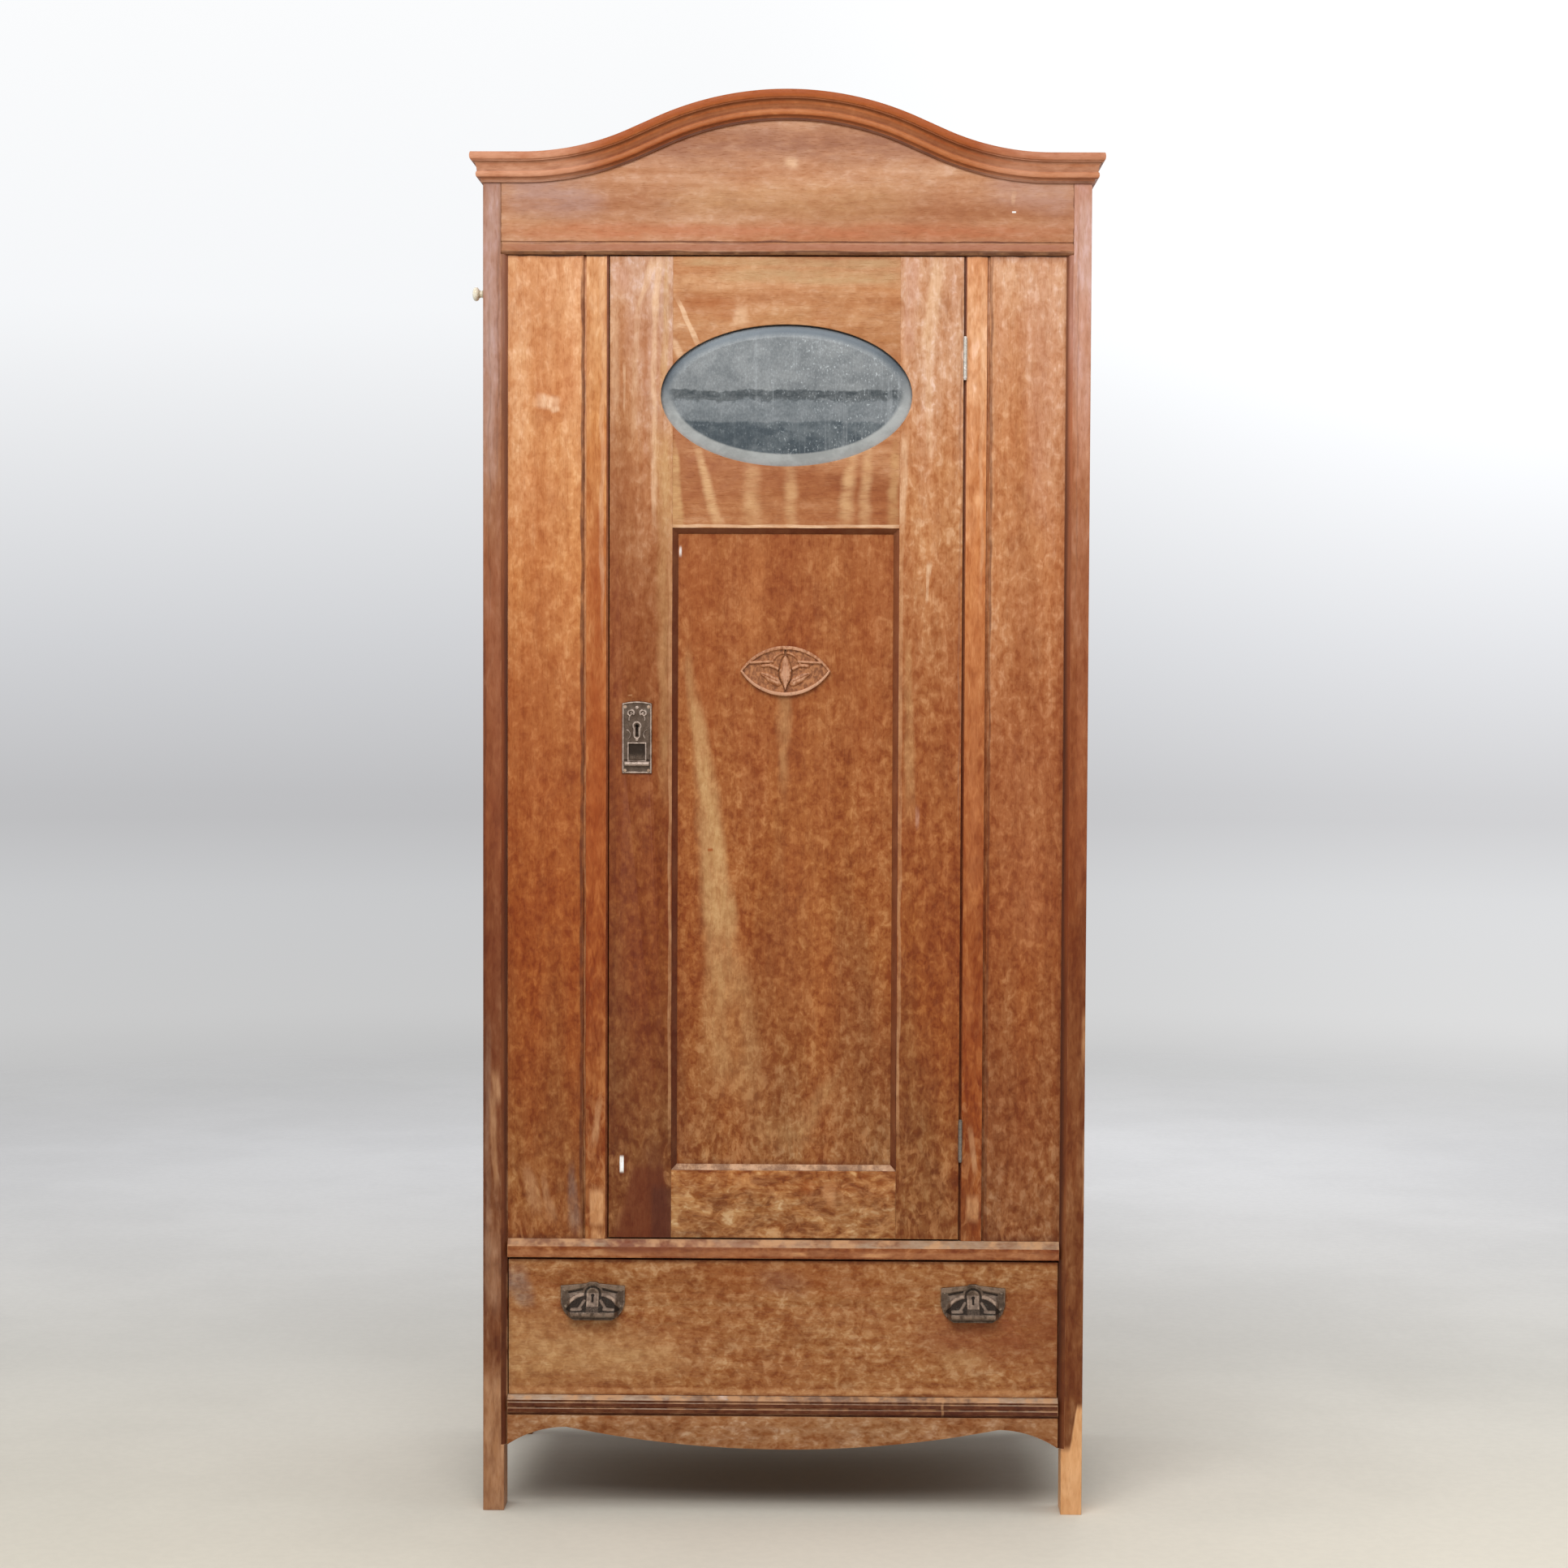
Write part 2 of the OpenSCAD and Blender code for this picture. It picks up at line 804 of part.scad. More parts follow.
module side_knob() {
    color("ivory") translate([-half_w, knob_y, knob_z]) rotate([0, -90, 0])
        rotate_extrude() polygon([
            [0, 0], [knob_neck_r, 0], [knob_neck_r, knob_neck_l],
            [knob_r, knob_neck_l + knob_flare], [knob_r, knob_l - knob_round],
            [knob_r - knob_round, knob_l], [0, knob_l]
        ]);
}

// Hinges

module at_hinges() {
    for (z = hinge_zs) translate([hinge_x, hinge_y, z]) children();
}

// One leaf with its own knuckles. Parity 0 is the frame's and 1 is the door's.
module hinge_leaf(parity, bore_r) {
    reach = hinge_out + leaf_d;
    difference() {
        union() {
            bar([knuckle_r - leaf_t, 0, 0], [knuckle_r, reach, hinge_h]);
            for (i = [parity : 2 : knuckle_count - 1])
                translate([0, 0, i * knuckle_l + knuckle_gap / 2])
                    cylinder(r = knuckle_r, h = knuckle_l - knuckle_gap);
        }
        for (i = [1 - parity : 2 : knuckle_count - 1]) translate([0, 0, i * knuckle_l])
            cylinder(r = knuckle_r + fit_gap, h = knuckle_l);
        translate([0, 0, -overrun]) cylinder(r = bore_r, h = hinge_h + 2 * overrun);
    }
}

module leaf_recesses(side) {
    at_hinges() on_side(side)
        bar([knuckle_r - leaf_t, 0, 0], [knuckle_r, hinge_out + leaf_d, hinge_h]);
}

module hinge_screw_row(side) {
    at_hinges() on_side(side) for (share = screw_shares)
        translate([knuckle_r, hinge_out + screw_in, share * hinge_h]) screw();
}

module frame_hinge_screws() {
    hinge_screw_row(1);
}

module door_hinge_screws() {
    hinge_screw_row(-1);
}

module hinge_leaves_frame() {
    color(steel) difference() {
        at_hinges() hinge_leaf(0, hinge_pin_r);
        frame_hinge_screws();
    }
}

module hinge_leaves_door() {
    color(steel) difference() {
        at_hinges() mirror([1, 0, 0]) hinge_leaf(1, hinge_pin_r + pin_gap);
        door_hinge_screws();
    }
}

module hinge_pins() {
    color(steel) at_hinges() {
        cylinder(r = hinge_pin_r, h = hinge_h);
        for (z = [-pin_head_h, hinge_h]) translate([0, 0, z])
            cylinder(r = pin_head_r, h = pin_head_h);
    }
}

module frame_screws() {
    color(steel) {
        frame_hinge_screws();
        strike_screws();
    }
}

module door_screws() {
    color(steel) door_hinge_screws();
}

// Lock and strike

module keyhole_outline() {
    circle(r = keyhole_r);
    translate([-keyhole_slot_w / 2, -keyhole_slot_h]) square([keyhole_slot_w, keyhole_slot_h]);
}

module keyhole(y0, y1) {
    upright(y0, y1 - y0) translate([keyhole_x, keyhole_z]) keyhole_outline();
}

// The room that the bolt sweeps beyond the door's edge
module bolt_space(reach, gap) {
    bar([-muntin_x - reach, case_y + case_wall, bolt_z - gap],
        [-muntin_x + overrun, door_back_y - case_wall, bolt_z + bolt_h + gap]);
}

module strike_blank() {
    bar([-muntin_x - strike_t, panel_y + strike_side, bolt_z + bolt_h / 2 - strike_h / 2],
        [-muntin_x, door_back_y, bolt_z + bolt_h / 2 + strike_h / 2]);
}

module strike_screws() {
    strike_z = bolt_z + bolt_h / 2 - strike_h / 2;
    for (share = [strike_screw_share, 1 - strike_screw_share])
        translate([-muntin_x - leaf_t, panel_y + screw_in, strike_z + share * strike_h])
            mirror([1, 0, 0]) screw();
}

module strike_plate() {
    color(steel) difference() {
        strike_blank();
        bolt_space(bolt_travel, fit_gap);
        strike_screws();
    }
}

module lock_blank() {
    bar([-door_x, case_y, case_z], [-door_x + case_w, door_back_y, case_z + case_h]);
}

module lock_case() {
    color(steel) difference() {
        bar([-door_x, case_y, case_z],
            [-door_x + case_w, door_back_y - case_wall, case_z + case_h]);
        bar([-door_x + case_wall, case_y + case_wall, case_z + case_wall],
            [-door_x + case_w - case_wall, door_back_y, case_z + case_h - case_wall]);
        bar([-door_x - overrun, case_y + case_wall, bolt_z - fit_gap],
            [-door_x + case_wall + overrun, door_back_y, bolt_z + bolt_h + fit_gap]);
        keyhole(case_y - overrun, case_y + case_wall + overrun);
    }
}

module lock_cover() {
    color(steel) bar([-door_x, door_back_y - case_wall, case_z],
        [-door_x + case_w, door_back_y, case_z + case_h]);
}

module lock_bolt() {
    color("darkgoldenrod") bar([-door_x + fit_gap, case_y + case_wall + fit_gap, bolt_z],
        [-door_x + fit_gap + bolt_l, door_back_y - case_wall - fit_gap, bolt_z + bolt_h]);
}

module plate_tacks() {
    for (sx = [-1, 1], z = [plate_z - plate_arch - plate_pin_in, plate_z - plate_h + plate_pin_in])
        translate([keyhole_x + sx * (plate_w / 2 - plate_pin_in), panel_y - plate_t, z])
            tack(plate_t);
}

module lock_plate() {
    top_r = arc_r(plate_w / 2, plate_arch);
    foot = plate_z - plate_h;
    color(bronze) difference() {
        union() {
            upright(panel_y - plate_t, plate_t) intersection() {
                translate([keyhole_x - plate_w / 2, foot]) square([plate_w, plate_h]);
                translate([keyhole_x, plate_z - top_r]) circle(r = top_r, $fn = 180);
            }
            translate([keyhole_x - lip_w / 2, panel_y - plate_t - lip_out + lip_r, foot + lip_up])
                rotate([0, 90, 0]) cylinder(r = lip_r, h = lip_w);
        }
        keyhole(panel_y - plate_t - overrun, panel_y + overrun);
        bar([keyhole_x - plate_recess_w / 2, panel_y - plate_t - overrun, foot + plate_recess_up],
            [keyhole_x + plate_recess_w / 2, panel_y - plate_t + plate_recess_d,
             foot + plate_recess_up + plate_recess_h]);
        bar([keyhole_x - plate_w / 2, panel_y, foot],
            [keyhole_x + plate_w / 2, panel_y + lip_r * 2, plate_z]);
        plate_tacks();
    }
}

module lock_plate_pins() {
    color("tan") plate_tacks();
}

// Door

module oval(a, b) {
    polygon([for (i = [0 : oval_steps - 1]) let (t = 360 * i / oval_steps) [a * cos(t), b * sin(t)]]);
}

module mirror_space() {
    upright(panel_y - overrun, mirror_lip + 2 * overrun)
        translate([0, mirror_z]) oval(mirror_a, mirror_b);
    upright(panel_y + mirror_lip, door_t)
        translate([0, mirror_z]) oval(mirror_a + rebate_w, mirror_b + rebate_w);
}

// The tongues, panel edges and grooves along the frame's inner edges share one layer
module door_layer(x, z0, z1) {
    bar([-x, door_panel_y, z0], [x, door_panel_y + door_panel_t, z1]);
}

module stile_blank() {
    difference() {
        bar([stile_x, panel_y, door_z0], [door_x, door_back_y, door_z1]);
        door_layer(stile_x + groove_l, door_z0 - overrun, door_z1 + overrun);
        mirror_space();
    }
}

module door_stile_left() {
    color(oak) difference() {
        mirror([1, 0, 0]) stile_blank();
        lock_blank();
        keyhole(panel_y - overrun, case_y + overrun);
        plate_tacks();
    }
}

module door_stile_right() {
    color(oak) difference() {
        stile_blank();
        leaf_recesses(-1);
        door_hinge_screws();
    }
}

module door_panel_blank() {
    door_layer(stile_x + groove_l, bottom_rail_z - groove_l, top_rail_z + groove_l);
}

module door_rail(z0, z1) {
    color(oak) difference() {
        union() {
            bar([-stile_x, panel_y, z0], [stile_x, door_back_y, z1]);
            door_layer(stile_x + groove_l, z0, z1);
        }
        door_panel_blank();
        mirror_space();
    }
}

module door_top_rail() {
    door_rail(top_rail_z, door_z1);
}

module door_bottom_rail() {
    door_rail(door_z0, bottom_rail_z);
}

module door_panel() {
    color(oak) door_panel_blank();
}

// A bead along +x from -half to half, its outer edge at z = 0 and its bevel facing up
module bead_strip(half) {
    intersection() {
        lengthwise(-half, half) polygon([
            [panel_y + bead_lip, 0], [door_panel_y, 0], [door_panel_y, bead_w],
            [door_panel_y - bead_edge, bead_w]
        ]);
        upright(panel_y, groove_in) polygon([
            [-half, 0], [half, 0], [half - bead_w, bead_w], [bead_w - half, bead_w]
        ]);
    }
}

module panel_beads() {
    opening_h = top_rail_z - bottom_rail_z;
    color(oak_dark) {
        translate([0, 0, bottom_rail_z]) bead_strip(stile_x);
        translate([0, 0, top_rail_z]) mirror([0, 0, 1]) bead_strip(stile_x);
        for (side = [-1, 1])
            on_side(side) translate([stile_x, 0, bottom_rail_z + opening_h / 2])
                rotate([0, -90, 0]) bead_strip(opening_h / 2);
    }
}

// A pointed oval: the overlap of two equal circles
module lens(w, h) {
    r = arc_r(w / 2, h / 2);
    intersection_for (s = [-1, 1]) translate([0, s * (r - h / 2)]) circle(r = r, $fn = 180);
}

module panel_carving() {
    y = door_panel_y;
    color(oak_dark) {
        upright(y - carving_base_t, carving_base_t)
            translate([0, carving_z]) lens(carving_w, carving_h);
        upright(y - carving_t, carving_t) translate([0, carving_z]) difference() {
            lens(carving_w, carving_h);
            lens(carving_w - 3 * carving_rim_w, carving_h - 2 * carving_rim_w);
        }
        upright(y - carving_t, carving_t)
            translate([0, carving_z]) rotate([0, 0, 90]) lens(carving_h - carving_rim_w, carving_bud_w);
        for (side = [-1, 1]) upright(y - (carving_t + carving_base_t) / 2, (carving_t + carving_base_t) / 2)
            translate([side * carving_leaf_x, carving_z]) lens(carving_leaf_w, carving_leaf_h);
    }
}

function oval_ring(a, b, y) = [for (i = [0 : oval_steps - 1]) let (t = 360 * i / oval_steps)
    [-a * cos(t), y, mirror_z + b * sin(t)]];

module mirror_glass() {
    edge = rebate_w - fit_gap;
    color("lightslategray") sweep([
        oval_ring(mirror_a - mirror_bevel_w, mirror_b - mirror_bevel_w,
            panel_y + mirror_lip - mirror_rise),
        oval_ring(mirror_a - fit_gap, mirror_b - fit_gap, panel_y + mirror_lip),
        oval_ring(mirror_a + edge, mirror_b + edge, panel_y + mirror_lip),
        oval_ring(mirror_a + edge, mirror_b + edge, panel_y + mirror_lip + glass_t)
    ]);
}

module mirror_backing() {
    edge = rebate_w - fit_gap;
    color(softwood) upright(panel_y + mirror_lip + glass_t, door_t - mirror_lip - glass_t)
        translate([0, mirror_z]) oval(mirror_a + edge, mirror_b + edge);
}

module mirror_buttons() {
    color(softwood) upright(door_back_y, button_t) for (i = [0 : button_count - 1])
        let (t = 360 * (i + 0.5) / button_count)
            translate([(mirror_a + rebate_w) * cos(t), mirror_z + (mirror_b + rebate_w) * sin(t)])
                rotate(t) {
                    square([button_l - button_w, button_w], center = true);
                    for (s = [-1, 1]) translate([s * (button_l - button_w) / 2, 0])
                        circle(d = button_w);
                }
}

// Drawer

module drawer_layer(x0, x1, y0) {
    bar([x0, y0, drawer_z0 + drawer_bottom_up],
        [x1, drawer_end_y, drawer_z0 + drawer_bottom_up + drawer_bottom_t]);
}

module drawer_bottom_blank() {
    reach = drawer_side_x - drawer_side_t + drawer_groove;
    drawer_layer(-reach, reach, panel_y + drawer_front_t - drawer_groove);
}

module drawer_side_blank() {
    bar([drawer_side_x - drawer_side_t, panel_y + drawer_front_t - drawer_lap, drawer_z0],
        [drawer_side_x, drawer_end_y, drawer_side_top]);
}

module drawer_front() {
    color(oak) difference() {
        bar([-drawer_x, panel_y, drawer_z0], [drawer_x, panel_y + drawer_front_t, drawer_z1]);
        on_both_sides() drawer_side_blank();
        drawer_bottom_blank();
        pull_tacks();
    }
}

module drawer_sides() {
    color(softwood) difference() {
        on_both_sides() drawer_side_blank();
        drawer_bottom_blank();
    }
}

module drawer_bottom() {
    color(softwood) drawer_bottom_blank();
}

module drawer_back() {
    reach = drawer_side_x - drawer_side_t;
    color(softwood) bar([-reach, drawer_end_y - drawer_side_t,
            drawer_z0 + drawer_bottom_up + drawer_bottom_t],
        [reach, drawer_end_y, drawer_side_top - drawer_back_drop]);
}

module at_pulls() {
    for (side = [-1, 1]) translate([side * pull_x, panel_y, pull_z]) children();
}

module pull_tacks() {
    at_pulls() for (share = pull_tack_shares)
        translate([share[0] * pull_w / 2, -pull_t, share[1] * pull_h / 2]) tack(pull_t);
}

module pull() {
    upright(-pull_t, pull_t) polygon([for (share = pull_outline_shares)
        [share[0] * pull_w / 2, share[1] * pull_h / 2]]);
    difference() {
        lengthwise(-hood_w / 2, hood_w / 2) polygon([
            [-pull_t, hood_top], [-pull_out, -hood_lip_z], [-pull_out, -hood_foot_z],
            [-pull_t, -hood_foot_z]
        ]);
        lengthwise(hood_wall - hood_w / 2, hood_w / 2 - hood_wall) polygon([
            [-pull_t, hood_top - hood_wall * 2], [hood_wall - pull_out, -hood_lip_z],
            [hood_wall - pull_out, -hood_foot_z - overrun], [-pull_t, -hood_foot_z - overrun]
        ]);
    }
    upright(-pull_t - boss_out, boss_out)
        translate([0, pull_h / 2 - boss_r - hood_wall]) circle(r = boss_r);
}

module drawer_pulls() {
    color(bronze) difference() {
        at_pulls() pull();
        pull_tacks();
    }
}

module pull_pins() {
    color("tan") pull_tacks();
}

post_front(-1);  // post_front_left
post_front(1);  // post_front_right
post_rear(-1);  // post_rear_left
post_rear(1);  // post_rear_right
side_rails(-1);  // side_rails_left
side_rails(1);  // side_rails_right
side_panels(-1);  // side_panels_left
side_panels(1);  // side_panels_right
back_rails();
back_boards();
floor_board();
roof_board();
divider_rail();
lower_rail();
apron();
frieze_board();
cornice_front();
cornice_return(-1);  // cornice_left
cornice_return(1);  // cornice_right
front_panel(-1);  // front_panel_left
front_panel(1);  // front_panel_right
muntin_left();
muntin_right();
drawer_runners();
drawer_guides();
drawer_kickers();
drawer_stops();
door_stop();
hat_shelf();
shelf_battens();
hanging_rod();
rod_sockets();
strike_plate();
side_knob();
hinge_leaves_frame();
hinge_pins();
frame_screws();
door_stile_left();
door_stile_right();
door_top_rail();
door_bottom_rail();
door_panel();
panel_beads();
panel_carving();
mirror_glass();
mirror_backing();
mirror_buttons();
lock_plate();
lock_plate_pins();
lock_case();
lock_cover();
lock_bolt();
hinge_leaves_door();
door_screws();
drawer_front();
drawer_sides();
drawer_back();
drawer_bottom();
drawer_pulls();
pull_pins();
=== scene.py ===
"""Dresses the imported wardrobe: weathered oak, bronze fittings, an old mirror and a pale studio."""

import json
import math

import bmesh
import bpy
import numpy as np
from mathutils import Matrix, Vector

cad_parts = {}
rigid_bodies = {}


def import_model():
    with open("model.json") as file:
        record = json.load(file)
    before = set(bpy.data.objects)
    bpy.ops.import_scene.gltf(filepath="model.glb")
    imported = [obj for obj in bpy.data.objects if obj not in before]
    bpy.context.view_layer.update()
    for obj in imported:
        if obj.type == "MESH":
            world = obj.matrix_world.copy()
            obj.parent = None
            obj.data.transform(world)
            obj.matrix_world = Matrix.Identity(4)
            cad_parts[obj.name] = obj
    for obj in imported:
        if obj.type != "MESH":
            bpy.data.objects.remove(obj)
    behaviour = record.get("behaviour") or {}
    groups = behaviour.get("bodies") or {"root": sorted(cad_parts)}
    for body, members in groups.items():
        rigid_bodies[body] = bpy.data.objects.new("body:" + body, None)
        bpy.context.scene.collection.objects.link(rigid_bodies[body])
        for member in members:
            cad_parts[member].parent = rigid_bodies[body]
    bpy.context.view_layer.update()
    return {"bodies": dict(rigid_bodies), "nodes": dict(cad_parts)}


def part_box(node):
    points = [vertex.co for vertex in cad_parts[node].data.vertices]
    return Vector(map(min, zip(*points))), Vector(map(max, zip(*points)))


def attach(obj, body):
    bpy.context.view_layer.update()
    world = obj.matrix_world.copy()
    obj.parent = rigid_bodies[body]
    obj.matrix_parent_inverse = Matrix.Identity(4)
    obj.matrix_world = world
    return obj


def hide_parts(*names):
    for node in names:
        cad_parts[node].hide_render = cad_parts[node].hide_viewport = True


# The camera stands where the photographer stood, in metres and degrees
CAMERA_PLACE = (0.06612, -4.831, 1.26593)
CAMERA_YAW = -0.8378
CAMERA_DOWN = 2.5569
CAMERA_ROLL = 0.2316
CAMERA_LENS = 73.45
CAMERA_SENSOR = 36.0

# Sizes that the CAD model also has, in metres
DOOR_FACE_Y = -0.224
POST_FACE_Y = -0.231
PANEL_FACE_Y = -0.215
HALF_W = 0.435
INNER_X = 0.4
CORNICE_OUT = 0.018
CORNICE_H = 0.042
BACK_Y = 0.249
BOARDS_FROM = -0.41
BOARD_PITCH = 0.13675
CREST_Z = 2.05
FLAT_Z = 1.961
ARCH_HALF = 0.377
ARCH_TOP_R = 0.46
ARCH_ANGLE = math.radians(24)
MUNTIN_X = 0.258
HINGE_SPANS = ((0.5155, 0.5735), (1.6425, 1.7005))
BOTTOM_RAIL_Z = 0.499
MIRROR_Z = 1.618
MIRROR_A = 0.1805
MIRROR_B = 0.1015
MIRROR_BEVEL = 0.018
CARVING_Z = 1.223
CARVING_W = 0.13
CARVING_H = 0.072
CARVING_T = 0.0065
KEYHOLE_X = -0.2135
KEYHOLE_Z = 1.143
PLATE_W = 0.043
PLATE_FOOT_Z = 1.0745
PLATE_TOP_Z = 1.1785
PLATE_ARCH = 0.003
PULL_X = 0.276
PULL_Z = 0.307
PULL_W = 0.093
PULL_H = 0.056
KNOB_PLACE = (-0.435, -0.206, 1.763)
KNOB_R = 0.01

SIDES = ((-1, "left"), (1, "right"))

# Sizes that only this scene has: the lips beside the door, nails, glass and grain
LIP_LEFT_X = 0.2551
LIP_RIGHT_X = 0.2562
LIP_FACE_Y = -0.2225
LIP_BACK_Y = -0.214
LIP_STEP_X = 0.2542
LIP_STEP_Y = -0.2178
LIP_EASE = 0.0006
LIP_LOW_Z = 0.399
LIP_HIGH_Z = 1.817
HINGE_CLEAR = 0.001
NAIL_ASIDE = 0.31
NAIL_ROWS = (0.18, 0.37, 1.892)
PULL_SHELL = 0.0014
MIRROR_FACE_Y = -0.2194
MIRROR_SHOULDER_Y = -0.21932
MIRROR_FOOT_Y = -0.2171
MIRROR_FLANGE_Y = -0.217
MIRROR_BACK_Y = -0.212
MIRROR_SHOULDER = 0.0006
MIRROR_UNDER = 0.0077
GRAIN_FROM = -0.445
GRAIN_TURN = 0.075
HALF_MM = 500.0

# How a copy of a CAD node is eased
SAME_POINT = 1e-6
FLAT_WITHIN = math.radians(0.5)
SHARP_ABOVE = math.radians(60)
EASE_ABOVE = math.radians(28)
EASE_WIDTH = 0.0008
FINE_EASE = 0.0004
BUTTON_EASE = 0.0005
BOLT_EASE = 0.0006

# The studio
WORLD_FILL = 0.52
FILL_TINT = (1.0, 0.99, 0.985)
SKY = ((0.4, (0.6, 0.59, 0.57)), (0.46, (0.595, 0.6, 0.61)), (0.474, (0.52, 0.52, 0.532)),
       (0.5, (0.65, 0.658, 0.68)), (0.55, (0.93, 0.942, 0.96)), (0.6, (0.985, 0.992, 1.0)))
KEY_POWER = 112.0
SIDE_POWER = 26.0
BACK_POWER = 40.0
FLOOR_REACH = 7.0
FLOOR_CORNERS = 96
FLOOR_NEAR = (0.665, 0.625, 0.53)
FLOOR_MID = (0.56, 0.55, 0.515)
FLOOR_FAR = (0.69, 0.697, 0.715)

# Wood colours, linear
UMBER = (0.262, 0.086, 0.022)
RUSSET = (0.3, 0.073, 0.012)
CHESTNUT = (0.35, 0.096, 0.021)
HONEY = (0.56, 0.215, 0.067)
# The lightest tone, high up: partly sun fading, partly painted light from above
FADED_AND_LIT = (0.65, 0.31, 0.142)
BONE = (0.76, 0.5, 0.31)
STRAW = (0.56, 0.33, 0.14)
FADED_STREAK = (0.46, 0.29, 0.14)
FADED_SPOT = (0.8, 0.52, 0.33)
RAY = (0.52, 0.25, 0.105)
WORN = (0.56, 0.3, 0.145)
BARE = (0.7, 0.36, 0.16)
BLUSH = (0.56, 0.3, 0.21)
BLOOD = (0.095, 0.024, 0.008)
SOOT = (0.05, 0.02, 0.01)
DUST = (0.42, 0.29, 0.2)
ASH = (0.2, 0.15, 0.13)
CHALK = (0.9, 0.88, 0.85)
# A painted highlight on the upward face of the door panel's bottom bead
LEDGE_HIGHLIGHT = (0.6, 0.36, 0.215)
PALE_LEG = (0.765, 0.405, 0.183)
SUN = (0.64, 0.385, 0.185)
SHELF_DUST = (0.35, 0.215, 0.13)

# How green the bronze is where it is green
VERDIGRIS = 0.15

# The finish by height: lighter where the sun reached and faded it, and partly painted light from above;
# darker low down
AGE_TOP = 2.1
INSIDE_AGE = 0.98
AGES_AND_TOP_LIGHT = ((0.45, UMBER), (0.8, RUSSET), (1.1, CHESTNUT), (1.45, HONEY), (1.7, FADED_AND_LIT))


class Paint:
    """The nodes of a material or world; each call adds to them and gives back a socket."""

    def __init__(self, holder):
        self.holder = holder
        holder.use_nodes = True
        self.tree = holder.node_tree
        self.tree.nodes.clear()
        self.place_node = None

    def node(self, kind, **settings):
        made = self.tree.nodes.new(kind)
        for key, value in settings.items():
            setattr(made, key, value)
        return made

    def feed(self, socket, value):
        if isinstance(value, bpy.types.NodeSocket):
            self.tree.links.new(value, socket)
        elif socket.type == "RGBA":
            socket.default_value = (*value[:3], 1.0)
        else:
            socket.default_value = value

    def coordinates(self):
        if self.place_node is None:
            self.place_node = self.node("ShaderNodeTexCoord")
        return self.place_node

    def place(self):
        return self.coordinates().outputs["Object"]

    def facing(self):
        return self.coordinates().outputs["Normal"]

    def attribute(self, name):
        return self.node("ShaderNodeAttribute", attribute_name=name)

    def math(self, kind, a, b=0.0, c=0.0):
        made = self.node("ShaderNodeMath", operation=kind)
        self.feed(made.inputs[0], a)
        self.feed(made.inputs[1], b)
        self.feed(made.inputs[2], c)
        return made.outputs[0]

    def add(self, a, b):
        return self.math("ADD", a, b)

    def times(self, a, b):
        return self.math("MULTIPLY", a, b)

    def size(self, a):
        return self.math("ABSOLUTE", a)

    def vector(self, kind, a, b):
        made = self.node("ShaderNodeVectorMath", operation=kind)
        self.feed(made.inputs[0], a)
        self.feed(made.inputs[1], b)
        return made.outputs[0]

    def stretch(self, a, amounts):
        return self.vector("MULTIPLY", a, amounts)

    def shift(self, a, amounts):
        return self.vector("ADD", a, amounts)

    def axes(self, a):
        made = self.node("ShaderNodeSeparateXYZ")
        self.feed(made.inputs[0], a)
        return made.outputs[0], made.outputs[1], made.outputs[2]

    def join(self, x, y, z):
        made = self.node("ShaderNodeCombineXYZ")
        for socket, value in zip(made.inputs, (x, y, z)):
            self.feed(socket, value)
        return made.outputs[0]

    def noise(self, where, scales, detail=2.0, rough=0.5, bend=0.0):
        made = self.node("ShaderNodeTexNoise")
        self.feed(made.inputs["Vector"], self.stretch(where, scales))
        made.inputs["Scale"].default_value = 1.0
        made.inputs["Detail"].default_value = detail
        made.inputs["Roughness"].default_value = rough
        made.inputs["Distortion"].default_value = bend
        return made.outputs[0]

    def spots(self, where, scales, feature="F1"):
        made = self.node("ShaderNodeTexVoronoi", feature=feature)
        self.feed(made.inputs["Vector"], self.stretch(where, scales))
        made.inputs["Scale"].default_value = 1.0
        return made.outputs["Distance"]

    def band(self, value, low, high, out_low=0.0, out_high=1.0):
        """0 at low and 1 at high, eased between; low may be the larger of the two."""
        made = self.node("ShaderNodeMapRange", interpolation_type="SMOOTHSTEP")
        fixed = not any(isinstance(end, bpy.types.NodeSocket) for end in (low, high))
        if fixed and low > high:
            low, high, out_low, out_high = high, low, out_high, out_low
        for socket, amount in zip(made.inputs, (value, low, high, out_low, out_high)):
            self.feed(socket, amount)
        return made.outputs[0]

    def ramp(self, value, stops):
        made = self.node("ShaderNodeValToRGB")
        self.feed(made.inputs[0], value)
        marks = made.color_ramp.elements
        while len(marks) < len(stops):
            marks.new(0.5)
        for mark, (where, colour) in zip(marks, stops):
            mark.position = where
            mark.color = (*colour, 1.0)
        return made.outputs[0]

    def blend(self, share, a, b, kind="MIX"):
        made = self.node("ShaderNodeMix", data_type="RGBA", blend_type=kind)
        self.feed(made.inputs[0], share)
        self.feed(made.inputs[6], a)
        self.feed(made.inputs[7], b)
        return made.outputs[2]

    def tinted(self, colour, tint):
        return self.blend(1.0, colour, tint, "MULTIPLY")

    def toned(self, colour, share, tint):
        """The colour, tinted where the share is 1."""
        return self.blend(share, colour, self.tinted(colour, tint))

    def varied(self, colour, share, dark, pale):
        """The colour between two of its tints."""
        return self.blend(share, self.tinted(colour, dark), self.tinted(colour, pale))

    def gain(self, colour, share, low, high):
        """The colour times a number between low and high."""
        level = self.band(share, 0.0, 1.0, low, high)
        return self.vector("MULTIPLY", colour, self.join(level, level, level))

    def bump(self, height, depth, strength):
        made = self.node("ShaderNodeBump")
        made.inputs["Strength"].default_value = strength
        made.inputs["Distance"].default_value = depth
        self.feed(made.inputs["Height"], height)
        return made.outputs[0]

    def shader(self, kind, **inputs):
        made = self.node(kind)
        for key, value in inputs.items():
            self.feed(made.inputs[key.replace("_", " ")], value)
        return made.outputs[0]

    def mixed(self, share, a, b):
        made = self.node("ShaderNodeMixShader")
        for socket, value in zip(made.inputs, (share, a, b)):
            self.feed(socket, value)
        return made.outputs[0]

